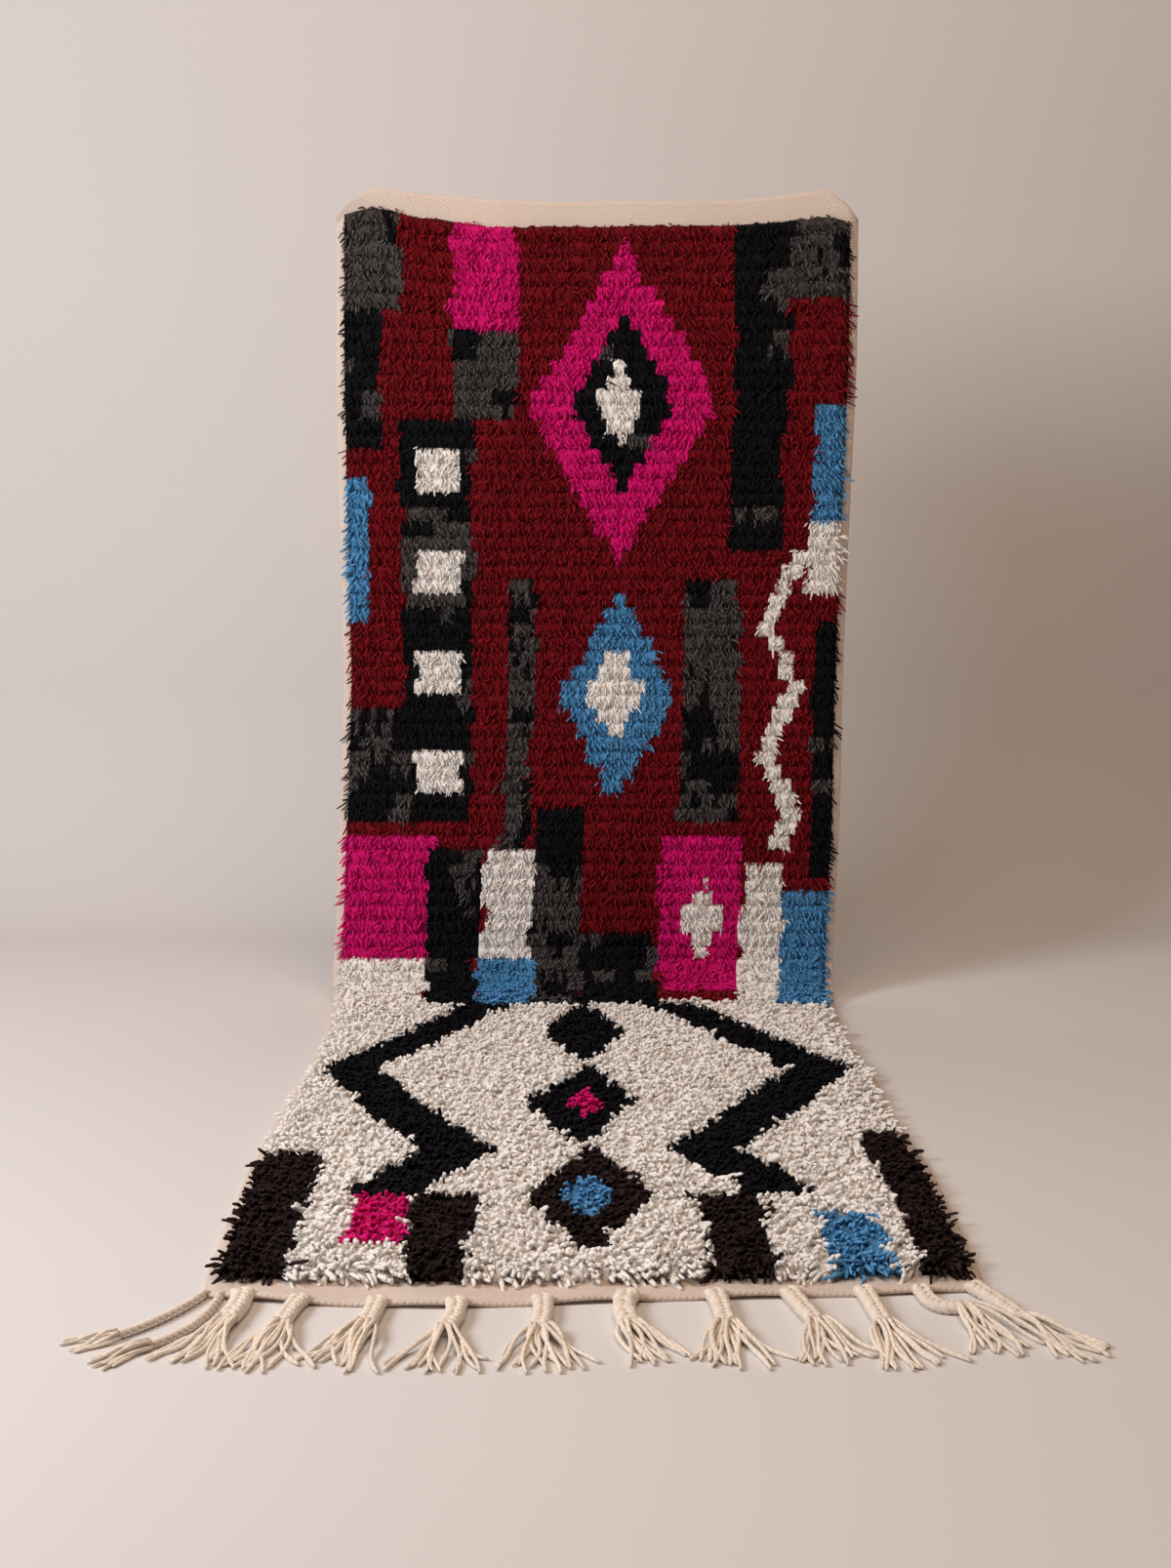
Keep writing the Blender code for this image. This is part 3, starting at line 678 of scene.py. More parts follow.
def weave_group():
    """Cotton ground: a slanting twill of small raised threads, with coloured specks, from a UV in metres; the
    low parts between the threads are darkened as painted shade.
    """
    group = bpy.data.node_groups.new("Ground Twill", "ShaderNodeTree")
    group_sockets(
        group,
        (
            ("Warp Colour", "NodeSocketColor", (0.7, 0.6, 0.5, 1)),
            ("Shade Colour", "NodeSocketColor", (0.5, 0.4, 0.3, 1)),
            ("Speck Colour", "NodeSocketColor", (0.5, 0.2, 0.2, 1)),
            ("Threads", "NodeSocketFloat", 260.0),
        ),
        (("Colour", "NodeSocketColor"), ("Height", "NodeSocketFloat"), ("Roughness", "NodeSocketFloat")),
    )
    nodes, links = group.nodes, group.links
    given = nodes.new("NodeGroupInput")
    put = nodes.new("NodeGroupOutput")
    place = nodes.new("ShaderNodeUVMap")
    place.uv_map = "yarn"
    wobble = nodes.new("ShaderNodeTexNoise")
    wobble.inputs["Scale"].default_value = 55.0
    links.new(place.outputs[0], wobble.inputs["Vector"])
    nudge = nodes.new("ShaderNodeVectorMath")
    nudge.operation = "MULTIPLY_ADD"
    nudge.inputs[1].default_value = (0.0016, 0.0016, 0.0)
    links.new(wobble.outputs["Color"], nudge.inputs[0])
    links.new(place.outputs[0], nudge.inputs[2])
    split = nodes.new("ShaderNodeSeparateXYZ")
    links.new(nudge.outputs[0], split.inputs[0])
    across = math_node(group, "MULTIPLY", split.outputs["X"], given.outputs["Threads"])
    along = math_node(group, "MULTIPLY", split.outputs["Y"], given.outputs["Threads"])
    slant = math_node(group, "ADD", math_node(group, "MULTIPLY", across, 0.60), along)
    rib = math_node(group, "SINE", math_node(group, "MULTIPLY", slant, 2 * math.pi))
    rib = math_node(group, "MULTIPLY_ADD", rib, 0.5, 0.5)
    thread = math_node(group, "SINE", math_node(group, "MULTIPLY", across, 4 * math.pi))
    thread = math_node(group, "MULTIPLY_ADD", thread, 0.25, 0.5)
    height = math_node(group, "MULTIPLY_ADD", rib, 0.7, math_node(group, "MULTIPLY", thread, 0.3))
    fuzz = noise_node(group, place.outputs[0], 420.0, 4.0, 0.7)
    patch = noise_node(group, place.outputs[0], 9.0, 2.0)
    speck = noise_node(group, place.outputs[0], 230.0, 1.0)
    speck = math_node(group, "GREATER_THAN", speck, 0.70)
    # painted shade: the low parts of the twill get the darker colour, mixed with random tone from the fuzz and
    # patch noise
    groove_shade_and_tone = math_node(group, "SUBTRACT", 1.0, height)
    groove_shade_and_tone = math_node(group, "MULTIPLY_ADD", fuzz, 0.35, math_node(group, "MULTIPLY", groove_shade_and_tone, 0.62))
    groove_shade_and_tone = math_node(group, "SUBTRACT", groove_shade_and_tone, 0.28)
    groove_shade_and_tone = math_node(group, "MULTIPLY_ADD", patch, 0.30, groove_shade_and_tone, clamp=True)
    colour = mix_node(group, groove_shade_and_tone, given.outputs["Warp Colour"], given.outputs["Shade Colour"])
    colour = mix_node(group, math_node(group, "MULTIPLY", speck, 0.35), colour, given.outputs["Speck Colour"])
    links.new(colour, put.inputs["Colour"])
    links.new(math_node(group, "MULTIPLY_ADD", fuzz, 0.6, height), put.inputs["Height"])
    links.new(math_node(group, "MULTIPLY_ADD", fuzz, 0.15, 0.80), put.inputs["Roughness"])
    return group


def place_group(tree, group, values):
    """A group node with numbers, colours or sockets on its named inputs."""
    node = tree.nodes.new("ShaderNodeGroup")
    node.node_tree = group
    for name, value in values.items():
        if isinstance(value, (int, float)):
            node.inputs[name].default_value = value
        elif isinstance(value, (tuple, list)):
            node.inputs[name].default_value = (*value[:3], 1.0)
        else:
            tree.links.new(value, node.inputs[name])
    return node


def finish_surface(tree, shader, group_node, distance, sheen, tint):
    """Colour, roughness and bump from the group; sheen set on the shader itself."""
    tree.links.new(group_node.outputs["Colour"], shader.inputs["Base Color"])
    tree.links.new(group_node.outputs["Roughness"], shader.inputs["Roughness"])
    bump = tree.nodes.new("ShaderNodeBump")
    bump.inputs["Strength"].default_value = 0.8
    bump.inputs["Distance"].default_value = distance
    tree.links.new(group_node.outputs["Height"], bump.inputs["Height"])
    tree.links.new(bump.outputs[0], shader.inputs["Normal"])
    shader.inputs["Sheen Weight"].default_value = sheen
    shader.inputs["Sheen Roughness"].default_value = 0.6
    shader.inputs["Sheen Tint"].default_value = (*tint, 1.0)
    shader.inputs["Specular IOR Level"].default_value = 0.15


WoolLook = namedtuple("WoolLook", "deep light fibre unevenness gap sheen")
# How dark the painted shade at the roots is, how light the fibres in it are and how many, how far the tone
# of the ends differs, how deep the ply gaps are and how dark their painted shade is, and the soft sheen of the
# fibres
WOOL_LOOKS = {
    "dark_red": WoolLook(0.30, 0.10, 0.35, 0.80, 0.60, 0.10),
    "magenta": WoolLook(0.45, 0.16, 0.30, 0.55, 0.50, 0.15),
    "blue": WoolLook(0.40, 0.30, 0.40, 0.60, 0.50, 0.15),
    "charcoal": WoolLook(0.25, 0.05, 0.35, 1.00, 0.60, 0.04),
    "heather": WoolLook(0.22, 0.30, 0.70, 1.30, 0.60, 0.10),
    "ivory": WoolLook(0.88, 0.60, 0.30, 0.16, 0.25, 0.15),
    "brown": WoolLook(0.25, 0.06, 0.35, 1.10, 0.60, 0.04),
}


def wool_material(wool, colours):
    """Spun wool of one dye, with painted shade darkening it towards the root and in the ply gaps, and lighter
    fibres in it.
    """
    material, tree, shader = new_material("wool_" + wool)
    look = WOOL_LOOKS[wool]
    base = tuple(getattr(colours, wool))
    # painted shade colour: a darker copy of the dye, for the roots and the ply gaps
    deep = tuple(channel ** (1.0 if wool == "ivory" else 1.15) * look.deep for channel in base)
    light = tuple(channel + (1 - channel) * look.light for channel in base)
    node = place_group(tree, bpy.data.node_groups["Spun Yarn"], {
        "Colour": base,
        "Light Fibre": light,
        "Deep Colour": deep,
        "Tone": attribute_value(tree, "tone"),
        "Reach": attribute_value(tree, "reach"),
        "Unevenness": look.unevenness,
        "Ply Twist": 2.4,
        "Ply Depth": look.gap,
        "Fibre Mix": look.fibre,
    })
    finish_surface(tree, shader, node, 0.0006, look.sheen, light)
    return material


def cotton_material(colours):
    """Undyed spun cotton of the tassels and cords."""
    material, tree, shader = new_material("cotton_yarn")
    base = tuple(colours.cotton)
    node = place_group(tree, bpy.data.node_groups["Spun Yarn"], {
        "Colour": base,
        "Light Fibre": tuple(channel + (1 - channel) * 0.3 for channel in base),
        # painted shade colour for the gaps between the plies; the tubes get no root shade, since their reach is
        # one throughout
        "Deep Colour": tuple(channel * 0.62 for channel in base),
        "Tone": attribute_value(tree, "tone"),
        "Reach": attribute_value(tree, "reach"),
        "Unevenness": 0.30,
        "Ply Twist": 1.1,
        "Ply Depth": 0.45,
        "Fibre Mix": 0.40,
    })
    finish_surface(tree, shader, node, 0.0007, 0.2, base)
    return material


def ground_material(colours):
    """The flat-woven cotton ground."""
    material, tree, shader = new_material("ground_cotton")
    base = tuple(colours.ground)
    node = place_group(tree, bpy.data.node_groups["Ground Twill"], {
        "Warp Colour": base,
        # darker colour for the painted shade in the twill's grooves and for random tone patches
        "Shade Colour": tuple(channel * share for channel, share in zip(base, (0.66, 0.55, 0.47))),
        "Speck Colour": (0.42, 0.16, 0.12),
        "Threads": 250.0,
    })
    finish_surface(tree, shader, node, 0.0009, 0.15, base)
    return material


# Sizes and colours a user would change


class RunnerSizes(bpy.types.PropertyGroup):
    hung_yarn: bpy.props.FloatProperty(
        name="Hanging Yarn Thickness", description="Thickness of a yarn end on the hanging half",
        default=0.0033, unit="LENGTH")
    laid_yarn: bpy.props.FloatProperty(
        name="Lying Yarn Thickness", description="Thickness of a yarn end on the lying half",
        default=0.0054, unit="LENGTH")
    ground_thick: bpy.props.FloatProperty(
        name="Ground Thickness", description="Thickness of the flat-woven ground",
        default=0.0045, unit="LENGTH")
    loose_end: bpy.props.FloatProperty(
        name="Loose End Thickness", description="Thickness of a loose yarn end in a tassel",
        default=0.0042, unit="LENGTH")


def colour_property(name, description, default):
    return bpy.props.FloatVectorProperty(
        name=name, description=description, default=default, subtype="COLOR", size=3, min=0, max=1)


class RunnerColours(bpy.types.PropertyGroup):
    dark_red: colour_property("Dark Red Wool", "Dye of the dark red wool", (0.270, 0.0016, 0.0095))
    magenta: colour_property("Magenta Wool", "Dye of the magenta wool", (0.880, 0.0010, 0.230))
    blue: colour_property("Blue Wool", "Dye of the blue wool", (0.105, 0.370, 0.690))
    charcoal: colour_property("Charcoal Wool", "Natural black wool", (0.0065, 0.0062, 0.0092))
    heather: colour_property("Heather Wool", "Natural grey-brown wool", (0.100, 0.084, 0.080))
    ivory: colour_property("Ivory Wool", "Undyed light wool", (0.930, 0.880, 0.830))
    brown: colour_property("Brown Wool", "Natural brown-black wool", (0.030, 0.014, 0.0125))
    cotton: colour_property("Fringe Cotton", "Undyed yarn of the fringe", (0.850, 0.740, 0.620))
    ground: colour_property("Ground Cotton", "Undyed yarn of the ground weave", (0.800, 0.690, 0.600))


def settings():
    return bpy.context.scene.runner_sizes, bpy.context.scene.runner_colours


HUNG_ROWS = 54
PILE_HALF = HALF_WIDTH - SELVEDGE
ROLL_LOW = 0.0078
ROLL_RISE = 0.0062
ROLL_FOOT = 0.0040
ROLL_UNDER = 0.0015
ROLL_PHASES = (0.02, 0.30, 0.74)
ROLL_LUMPS = 0.0009
DARK_SLIM = 0.82
FRONT_ROWS = 4
FRONT_LONGER = 0.35
MOST_TRIANGLES = 190000
GROUND_COLUMNS = 49
TOP_STATIONS = 7
PILE_STATIONS = 176
HEM_STATIONS = 9
RIM_ROUND = 0.0012


class RUNNER_OT_yarns(bpy.types.Operator):
    """Makes the shared yarn and weave node groups and a material for each wool"""

    bl_idname = "runner.yarns"
    bl_label = "Yarns"

    def execute(self, context):
        _, colours = settings()
        yarn_group()
        weave_group()
        for wool in WOOLS:
            wool_material(wool, colours)
        cotton_material(colours)
        ground_material(colours)
        return {"FINISHED"}


def keep_piece(item, slot, *nodes):
    """Rides a piece on the rug, in place of its solids."""
    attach(item, "root")
    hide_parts(*nodes)


class RUNNER_OT_pile(bpy.types.Operator):
    """Ties the pile: yarn ends in rows, one joined mesh for each wool"""

    bl_idname = "runner.pile"
    bl_label = "Wool Pile"

    def execute(self, context):
        sizes, _ = settings()
        rng = np.random.default_rng(SEED + 1)
        chart = tie_chart()
        made = {}
        halves = (
            ("hung", HUNG_LAYERS, 0, HUNG_ROWS, sizes.hung_yarn, 0.42, 3),
            ("laid", LAID_LAYERS + FRONT_LAYERS, HUNG_ROWS, PILE_ROWS, sizes.laid_yarn, 0.24, 4),
        )
        for half, layers, first, last, thick, scatter, sides in halves:
            for layer in layers:
                start = PILE_ROWS - 1 if layer in FRONT_LAYERS else first
                base, rise, fall, length, size, wool, tone, rows = tie_ends(
                    rng, chart, start, last, layer, thick, scatter)
                front = smooth_step((rows - (PILE_ROWS - FRONT_ROWS)) / (FRONT_ROWS - 1))
                length = length * (1 + FRONT_LONGER * front)
                slim = np.where(wool == WOOLS.index("ivory"), 1.0, DARK_SLIM if half == "laid" else 1.0)
                points, share = yarn_ends(rng, base, rise, fall, length, size * slim, sides, 3)
                for index, name in enumerate(WOOLS):
                    chosen = wool == index
                    if chosen.any():
                        made.setdefault((name, half), []).append(
                            (points[chosen], share, length[chosen], tone[chosen], sides, math.pi * thick))
        for (wool, half), bundles in made.items():
            triangles = sum(len(part[0]) * (part[4] * 6 - 2) for part in bundles)
            groups = math.ceil(triangles / MOST_TRIANGLES)
            for number in range(groups):
                some = [tuple([part[0][number::groups], part[1], part[2][number::groups],
                               part[3][number::groups], *part[4:]]) for part in bundles]
                item = wool_piece(f"pile_{wool}_{half}_{number + 1}", wool, some)
                keep_piece(item, WOOL_SLOT, "rug_body")
        lay_rolls(chart)
        return {"FINISHED"}


def lay_rolls(chart):
    """The rolls that the rows of knots make under their loose ends, closed underneath, in every wool, with
    painted shade in the creases between rows.
    """
    rng = np.random.default_rng(SEED + 2)
    rows = np.repeat(np.arange(PILE_ROWS), len(ROLL_PHASES))
    phase = np.tile(ROLL_PHASES, PILE_ROWS)
    rows = np.append(rows, PILE_ROWS - 1)
    phase = np.append(phase, 1.0)
    across = np.linspace(-PILE_HALF, PILE_HALF, KNOTS + 1)
    wide = np.broadcast_to(across, (len(rows), KNOTS + 1))
    line = TOP_BAND + (rows + phase)[:, None] * ROW_PITCH + rng.normal(0, ROLL_LUMPS, wide.shape)
    height = roll_height(phase)[:, None] + rng.normal(0, ROLL_LUMPS, wide.shape)
    height = height * rim_drop(wide)
    height[:, (0, -1)] = ROLL_FOOT
    height[(0, -1), :] = ROLL_FOOT
    grid = cloth(wide, shaped_along(wide, line, "pile"), height)
    under = cloth(wide[:, (0, -1)], shaped_along(wide, line, "pile")[:, (0, -1)], ROLL_UNDER)
    count, size = wide.shape
    points = np.concatenate([grid.reshape(-1, 3), under.reshape(-1, 3)])
    station = np.arange(count - 1)[:, None] * size
    column = np.arange(size - 1)[None, :]
    quads = np.stack(
        np.broadcast_arrays(station + column, station + size + column, station + size + column + 1,
                            station + column + 1),
        axis=-1,
    ).reshape(-1, 4)
    low = count * size + 2 * np.arange(count - 1)
    first = np.arange(count - 1) * size
    skirts = np.concatenate([
        np.stack([low, low + 2, first + size, first], axis=-1),
        np.stack([low + 3, low + 1, first + size - 1, first + 2 * size - 1], axis=-1),
        np.stack([low + 1, low + 3, low + 2, low], axis=-1),
    ])
    end = count * size
    top_cap = np.concatenate([[end], np.arange(size), [end + 1]])[None, ::-1]
    last_row = (count - 1) * size + np.arange(size)
    hem_cap = np.concatenate([[end + 2 * count - 2], last_row, [end + 2 * count - 1]])[None]
    faces = [quads, skirts, top_cap, hem_cap]
    flat = np.concatenate([np.stack([wide, line], -1).reshape(-1, 2),
                           np.stack([wide[:, (0, -1)], line[:, (0, -1)]], -1).reshape(-1, 2)]) * 100
    uvs = [flat[part] for part in faces]
    # painted shade: the low creases between rows get a small reach, so the wool's painted shade colour darkens
    # them; the hidden points underneath get reach zero and are fully shaded
    crease_shade_reach = 0.12 + 0.35 * (height - ROLL_LOW) / ROLL_RISE
    reach = np.concatenate([crease_shade_reach.ravel(), np.zeros(2 * count)])
    layers = {"tone": np.clip(rng.normal(0.5, 0.2, len(points)), 0, 1), "reach": reach}
    item = add_mesh("pile_rolls", points, faces, layers, uvs)
    for wool in WOOLS:
        item.data.materials.append(bpy.data.materials["wool_" + wool])
    wool = chart.wool[rows[:-1]]
    others = np.full(len(skirts) + 2, WOOLS.index("ivory"))
    index = np.concatenate([wool.ravel(), others]).astype(np.int32)
    item.data.polygons.foreach_set("material_index", index)
    keep_piece(item, WOOL_SLOT, "rug_body")
    return item


def end_strip(start, size):
    """Faces that close a flat ring of points across its thickness: quads, and a triangle at each side."""
    column = np.arange(1, size // 2 - 1)
    quads = np.stack([column, column + 1, size - column - 1, size - column], axis=-1)
    sides = np.array([(0, 1, size - 1), (size // 2 - 1, size // 2, size // 2 + 1)])
    return start + quads, start + sides


class RUNNER_OT_ground(bpy.types.Operator):
    """Weaves the ground: the flat cotton cloth with its end bands and selvedges"""

    bl_idname = "runner.ground"
    bl_label = "Ground Weave"

    def execute(self, context):
        sizes, _ = settings()
        across = np.linspace(-HALF_WIDTH, HALF_WIDTH, GROUND_COLUMNS)
        line = np.concatenate([
            np.linspace(0, TOP_BAND, TOP_STATIONS)[:-1],
            np.linspace(TOP_BAND, PILE_END, PILE_STATIONS),
            np.linspace(PILE_END, CLOTH_LENGTH, HEM_STATIONS)[1:],
        ])
        grid_across, grid_line = np.meshgrid(across, line)
        along = band_along(grid_across, grid_line)
        thick = sizes.ground_thick
        front = cloth(grid_across, along, thick)
        back = cloth(grid_across, along, 0.0)
        rim_left = cloth(grid_across[:, 0] - RIM_ROUND, along[:, 0], thick / 2)[:, None]
        rim_right = cloth(grid_across[:, -1] + RIM_ROUND, along[:, -1], thick / 2)[:, None]
        ring = np.concatenate([rim_left, front, rim_right, back[:, ::-1]], axis=1)
        count, size = ring.shape[:2]
        base = np.arange(count - 1)[:, None] * size
        turn = np.arange(size)[None, :]
        after = (turn + 1) % size
        quads = np.stack(
            np.broadcast_arrays(base + turn, base + after, base + size + after, base + size + turn), axis=-1
        ).reshape(-1, 4)
        caps = []
        for start, order in ((0, -1), ((count - 1) * size, 1)):
            caps += [part[:, ::order] for part in end_strip(start, size)]
        faces = [quads, *caps]
        u = np.concatenate([across[:1], across, across[-1:], across[::-1]])
        flat = np.stack([np.tile(u, count), np.repeat(line, size)], axis=-1)
        uvs = [flat[part] for part in faces]
        item = add_mesh("ground_weave", ring.reshape(-1, 3), faces, None, uvs)
        item.data.materials.append(bpy.data.materials["ground_cotton"])
        keep_piece(item, COTTON_SLOT, "rug_body")
        return {"FINISHED"}


def bezier(start, pull, end, share):
    """Points on a curve that passes through pull half way."""
    handle = 2 * pull - (start + end) / 2
    share = np.asarray(share, float)[:, None]
    return start * (1 - share) ** 2 + handle * 2 * share * (1 - share) + end * share**2


def sweep(lines, radius, sides, lobes=0, depth=0.0, twist=0.0):
    """Rings of points round many lines: lines is (count, rings, 3), radius (count, rings)."""
    way = np.gradient(lines, axis=1)
    way /= np.linalg.norm(way, axis=-1, keepdims=True) + 1e-12
    up = np.broadcast_to(np.array([0.0, 0.0, 1.0]), way.shape)
    side = np.cross(way, up)
    flat = np.linalg.norm(side, axis=-1, keepdims=True)
    side = np.where(flat > 0.05, side / np.maximum(flat, 1e-9), np.array([1.0, 0.0, 0.0]))
    up = np.cross(side, way)
    steps = np.linalg.norm(np.diff(lines, axis=1), axis=-1)
    places = np.concatenate([np.zeros((len(lines), 1)), np.cumsum(steps, axis=1)], axis=1)
    turn = 2 * math.pi * np.arange(sides) / sides
    lobe = 1 + depth * np.cos(lobes * (turn[None, None, :] - twist * places[:, :, None]))
    size = radius[:, :, None] * lobe
    ring = (
        lines[:, :, None, :]
        + (size * np.cos(turn))[..., None] * side[:, :, None, :]
        + (size * np.sin(turn))[..., None] * up[:, :, None, :]
    )
    return ring, places


def join_tubes(name, bundles, material):
    """One mesh from bundles of tubes: each is (ring, places, tone, around)."""
    points, faces, uvs, tones, reaches = [], [], [], [], []
    at = 0
    for ring, places, tone, around in bundles:
        count, rings, sides = ring.shape[:3]
        points.append(ring.reshape(-1, 3))
        faces += [part + at for part in tube_faces(count, rings, sides, True)]
        uvs += tube_uvs(count, rings, sides, around, places, True)
        tones.append(np.repeat(tone, rings * sides))
        reaches.append(np.ones(count * rings * sides))
        at += count * rings * sides
    layers = {"tone": np.concatenate(tones), "reach": np.concatenate(reaches)}
    item = add_mesh(name, np.concatenate(points), faces, layers, uvs)
    item.data.materials.append(material)
    return item


def hem_y(x):
    """Where the hem's edge stands at X."""
    across = np.linspace(-HALF_WIDTH, HALF_WIDTH, 161)
    line = cloth(across, band_along(across, np.full(161, CLOTH_LENGTH)), 0.0)
    return float(np.interp(x, line[:, 0], line[:, 1]))


HEM_ROOT = 0.004
PLAIT_RINGS = 46
PLAIT_PITCH = 0.026
PLAIT_STRAND = 0.255
CORD_RINGS = 90
CORD_PITCH = 0.018
CORD_PLY = 0.0024
ON_FLOOR = 0.0006
LOOSE_RINGS = 16
LOOSE_TWIST = 0.012
TASSEL_TUCK = 0.018
TASSEL_ENDS = 15
SLIM_TASSEL_ENDS = 12
SLIM_TASSEL = 0.0185
CORD_TUCK = 0.008
CORD_ENDS = 7
CORD_ENDS_WIDE = 0.010
CORD_ENDS_SLIM = 0.85


def middle_line(row, share):
    """Middle line of a head or cord over the floor, the way across it at each place, and its length."""
    start = np.array([row.root, hem_y(row.root) + HEM_ROOT, 0.0])
    pull = np.array([row.mid[0], start[1] - HEM_ROOT - row.mid[1], 0.0])
    end = np.array([row.end[0], start[1] - HEM_ROOT - row.end[1], 0.0])
    line = bezier(start, pull, end, share)
    way = np.gradient(line, axis=0)
    way /= np.linalg.norm(way, axis=-1, keepdims=True)
    side = np.stack([-way[:, 1], way[:, 0], 0 * share], axis=-1)
    return line, side, np.linalg.norm(np.diff(line, axis=0), axis=-1).sum()


def loose_ends(rng, at, heading, spread, length, bend, thick, count, wide):
    """Yarn ends that leave a head side by side, fall to the floor and fan out."""
    share = np.linspace(0, 1, LOOSE_RINGS)
    middle = math.radians(heading)
    out = np.array([math.sin(middle), -math.cos(middle), 0.0])
    side = np.array([math.cos(middle), math.sin(middle), 0.0])
    lines, radii = [], []
    for index in range(count):
        place = (index + 0.5) / count - 0.5
        turned = middle + math.radians(spread) * (place + rng.normal(0, 0.06))
        reach = length * (1 - 0.22 * rng.random())
        curve = math.radians(bend + rng.normal(0, 16))
        angle = turned + curve * share + math.radians(10) * np.sin(share * 5 + rng.uniform(0, 6))
        steps = np.stack([np.sin(angle), -np.cos(angle), 0 * angle], axis=-1) * reach / LOOSE_RINGS
        line = at - out * wide * 0.35 + side * place * wide * 0.85 + np.cumsum(steps, axis=0)
        layer = 0.5 + (index % 3) * 0.75
        height = thick * (0.5 + layer * (1 - smooth_step(share * (1.15 + 0.5 * rng.random()))))
        bump = 0.0035 * np.sin(math.pi * np.clip(share * 1.4, 0, 1)) * rng.random()
        line[:, 2] = height + bump
        lines.append(line)
        radii.append(thick / 2 * (1 + 0.08 * rng.normal()) * (1 - 0.35 * smooth_step((share - 0.86) / 0.14)))
    ring, places = sweep(np.array(lines), np.array(radii), 8, 2, 0.13, 2 * math.pi / LOOSE_TWIST)
    tone = rng.uniform(0.25, 0.95, count)
    return ring, places, tone, math.pi * thick


class RUNNER_OT_tassels(bpy.types.Operator):
    """Plaits the tassels along the hem, each with its loose ends"""

    bl_idname = "runner.tassels"
    bl_label = "Tassels"

    def execute(self, context):
        sizes, _ = settings()
        for row in TASSELS:
            rng = np.random.default_rng([ord(letter) for letter in row.node])
            share = np.linspace(0, 1, PLAIT_RINGS)
            line, side, run = middle_line(row, share)
            strand = row.wide * PLAIT_STRAND
            lines = []
            for index in range(3):
                phase = 2 * math.pi * (share * run / PLAIT_PITCH + index / 3)
                sway = np.sin(phase) * row.wide * 0.26
                over = np.sin(2 * phase) * strand * 0.42
                flare = 1 + 0.35 * (1 - smooth_step(share * 5))
                plait = line + side * (sway * flare)[:, None]
                plait[:, 2] = strand * 1.28 + over
                lines.append(plait)
            radius = np.full((3, PLAIT_RINGS), strand) * (1 + 0.05 * rng.normal(0, 1, (3, 1)))
            ring, places = sweep(np.array(lines), radius, 12, 4, 0.07, 2 * math.pi / 0.05)
            ring[..., 2] = np.maximum(ring[..., 2], ON_FLOOR)
            bundles = [(ring, places, rng.uniform(0.3, 0.7, 3), math.pi * 2 * strand)]
            count = TASSEL_ENDS if row.wide > SLIM_TASSEL else SLIM_TASSEL_ENDS
            bundles.append(loose_ends(rng, line[-1], row.heading, row.spread, row.length + TASSEL_TUCK, row.bend,
                                      sizes.loose_end, count, row.wide))
            item = join_tubes("yarn_" + row.node, bundles, bpy.data.materials["cotton_yarn"])
            keep_piece(item, COTTON_SLOT, row.node)
        return {"FINISHED"}


class RUNNER_OT_cords(bpy.types.Operator):
    """Twists the two cords at the hem's left corner"""

    bl_idname = "runner.cords"
    bl_label = "Corner Cords"

    def execute(self, context):
        sizes, _ = settings()
        for row in CORDS:
            rng = np.random.default_rng([ord(letter) for letter in row.node])
            share = np.linspace(0, 1, CORD_RINGS)
            line, side, run = middle_line(row, share)
            ply = CORD_PLY
            lines = []
            for index in range(2):
                phase = 2 * math.pi * (share * run / CORD_PITCH) + math.pi * index
                strand = line + side * (np.cos(phase) * ply * 0.92)[:, None]
                strand[:, 2] = ply * 1.95 + np.sin(phase) * ply * 0.92
                lines.append(strand)
            ring, places = sweep(np.array(lines), np.full((2, CORD_RINGS), ply), 8)
            bundles = [(ring, places, rng.uniform(0.3, 0.6, 2), math.pi * 2 * ply)]
            bundles.append(loose_ends(rng, line[-1], row.heading, row.spread, row.length + CORD_TUCK, row.bend,
                                      sizes.loose_end * CORD_ENDS_SLIM, CORD_ENDS, CORD_ENDS_WIDE))
            item = join_tubes("yarn_" + row.node, bundles, bpy.data.materials["cotton_yarn"])
            keep_piece(item, COTTON_SLOT, row.node)
        return {"FINISHED"}


# Studio

CAMERA_AT = (-0.008, -2.670, 0.771)
CAMERA_PITCH = 7.18
CAMERA_LENS = 49.6
FLOOR_BEND_AT = 1.22
FLOOR_BEND = 0.42
FLOOR_FRONT = -7.0
WALL_TOP = 5.0
WALL_SIDE = 7.0
FLOOR_Z = -0.0004
PAPER = (0.700, 0.672, 0.650)
SoftBox = namedtuple("SoftBox", "name at aim size power colour")
SOFT_BOXES = (
    SoftBox("soft_box_left", (-2.25, -1.35, 1.75), (0.0, 0.8, 0.55), (1.1, 1.1), 73.0, (0.91, 0.94, 1.00)),
    SoftBox("soft_box_above", (0.1, -1.3, 3.6), (0.0, 0.1, 0.3), (2.6, 2.6), 73.0, (1.00, 0.78, 0.62)),
)
AIR_COLOUR = (1.0, 0.86, 0.76)
AIR_POWER = 0.02


def soft_box(box):
    """A large even light that the camera doesn't see."""
    data = bpy.data.lights.new(box.name, "AREA")
    data.shape = "RECTANGLE"
    data.size, data.size_y = box.size
    data.energy = box.power
    data.color = box.colour
    item = bpy.data.objects.new(box.name, data)
    bpy.context.scene.collection.objects.link(item)
    item.location = box.at
    item.rotation_euler = (Vector(box.aim) - Vector(box.at)).to_track_quat("-Z", "Y").to_euler()
    item.visible_camera = False
    return item


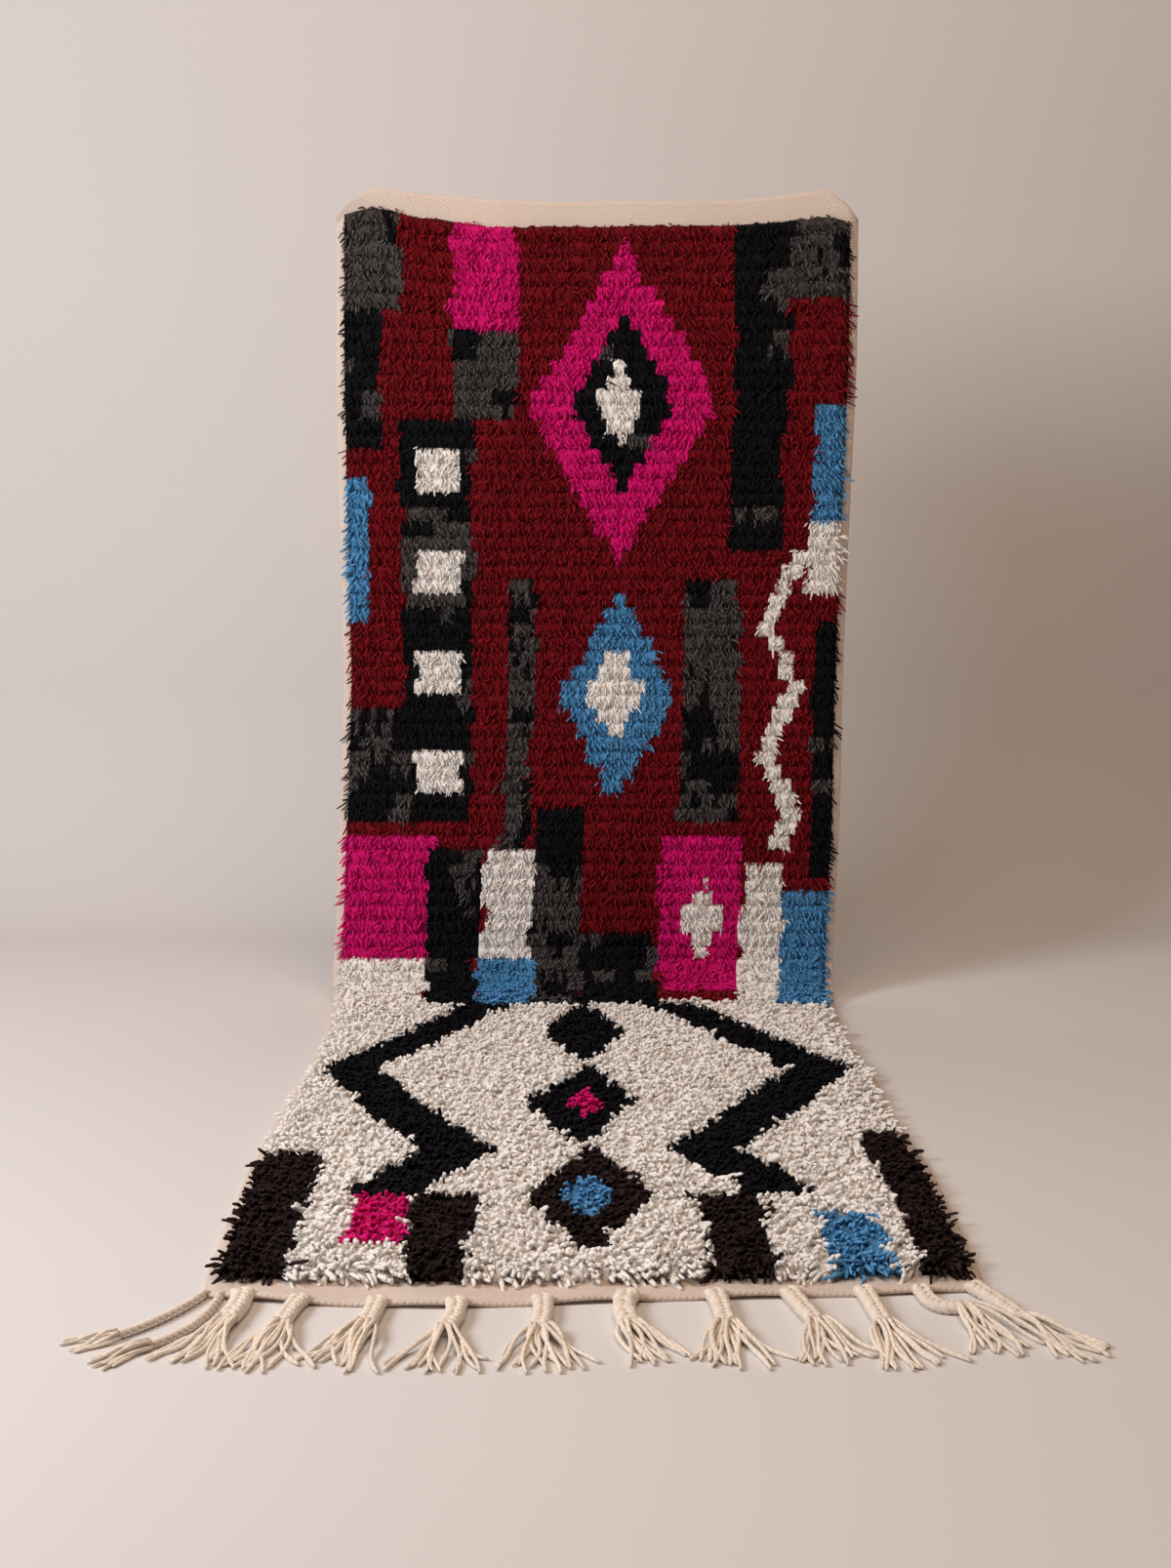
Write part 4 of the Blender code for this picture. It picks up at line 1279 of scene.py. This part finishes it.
def paper_material():
    """Matt backdrop paper, clear from behind so that views from the back see the rug."""
    material, tree, shader = new_material("studio_paper")
    shader.inputs["Roughness"].default_value = 0.95
    shader.inputs["Specular IOR Level"].default_value = 0.1
    place = tree.nodes.new("ShaderNodeTexCoord")
    soft = noise_node(tree, place.outputs["Object"], 0.9, 2.0)
    darker = tuple(0.97 * channel for channel in PAPER)
    lighter = tuple(1.03 * channel for channel in PAPER)
    tint = mix_node(tree, soft, darker, lighter)
    tree.links.new(tint, shader.inputs["Base Color"])
    clear = tree.nodes.new("ShaderNodeBsdfTransparent")
    behind = tree.nodes.new("ShaderNodeNewGeometry")
    both = tree.nodes.new("ShaderNodeMixShader")
    tree.links.new(behind.outputs["Backfacing"], both.inputs[0])
    tree.links.new(shader.outputs[0], both.inputs[1])
    tree.links.new(clear.outputs[0], both.inputs[2])
    tree.links.new(both.outputs[0], tree.nodes["Material Output"].inputs["Surface"])
    return material


class RUNNER_OT_stage(bpy.types.Operator):
    """Sets the pale floor and backdrop, the soft lights and the camera"""

    bl_idname = "runner.stage"
    bl_label = "Studio"

    def execute(self, context):
        scene = context.scene
        scene.view_settings.view_transform = "Standard"
        profile = [(FLOOR_FRONT, 0.0)]
        for step in range(25):
            angle = math.pi / 2 * step / 24
            profile.append((FLOOR_BEND_AT + FLOOR_BEND * math.sin(angle), FLOOR_BEND * (1 - math.cos(angle))))
        profile.append((FLOOR_BEND_AT + FLOOR_BEND, WALL_TOP))
        points = np.array([(x, y, z + FLOOR_Z) for y, z in profile for x in (-WALL_SIDE, WALL_SIDE)])
        faces = np.array([(2 * i, 2 * i + 1, 2 * i + 3, 2 * i + 2) for i in range(len(profile) - 1)])
        paper = add_mesh("studio_sweep", points, [faces])
        paper.data.materials.append(paper_material())
        world = bpy.data.worlds.new("studio_air")
        world.use_nodes = True
        air = world.node_tree.nodes["Background"]
        air.inputs[0].default_value = (*AIR_COLOUR, 1)
        air.inputs[1].default_value = AIR_POWER
        scene.world = world
        for box in SOFT_BOXES:
            soft_box(box)
        data = bpy.data.cameras.new("photo_camera")
        data.lens = CAMERA_LENS
        data.clip_end = 60
        camera = bpy.data.objects.new("photo_camera", data)
        scene.collection.objects.link(camera)
        camera.location = CAMERA_AT
        camera.rotation_euler = (math.radians(90 - CAMERA_PITCH), 0, 0)
        scene.camera = camera
        return {"FINISHED"}


class RUNNER_PT_panel(bpy.types.Panel):
    bl_idname = "RUNNER_PT_panel"
    bl_label = "Runner Rug"
    bl_space_type = "VIEW_3D"
    bl_region_type = "UI"
    bl_category = "Runner Rug"

    def draw(self, context):
        sizes, colours = context.scene.runner_sizes, context.scene.runner_colours
        for step in STEPS:
            self.layout.operator(step)
        for group in (sizes, colours):
            for name in group.__annotations__:
                self.layout.prop(group, name)


STEPS = ("runner.yarns", "runner.ground", "runner.pile", "runner.tassels", "runner.cords", "runner.stage")
CLASSES = (
    RunnerSizes, RunnerColours, RUNNER_OT_yarns, RUNNER_OT_ground, RUNNER_OT_pile, RUNNER_OT_tassels,
    RUNNER_OT_cords, RUNNER_OT_stage, RUNNER_PT_panel,
)


def register():
    for item in CLASSES:
        bpy.utils.register_class(item)
    bpy.types.Scene.runner_sizes = bpy.props.PointerProperty(type=RunnerSizes)
    bpy.types.Scene.runner_colours = bpy.props.PointerProperty(type=RunnerColours)


def unregister():
    del bpy.types.Scene.runner_colours
    del bpy.types.Scene.runner_sizes
    for item in reversed(CLASSES):
        bpy.utils.unregister_class(item)


def main():
    register()
    bpy.ops.runner.yarns()
    bpy.ops.runner.ground()
    bpy.ops.runner.pile()
    bpy.ops.runner.tassels()
    bpy.ops.runner.cords()
    bpy.ops.runner.stage()


if __name__ == "__main__":
    main()
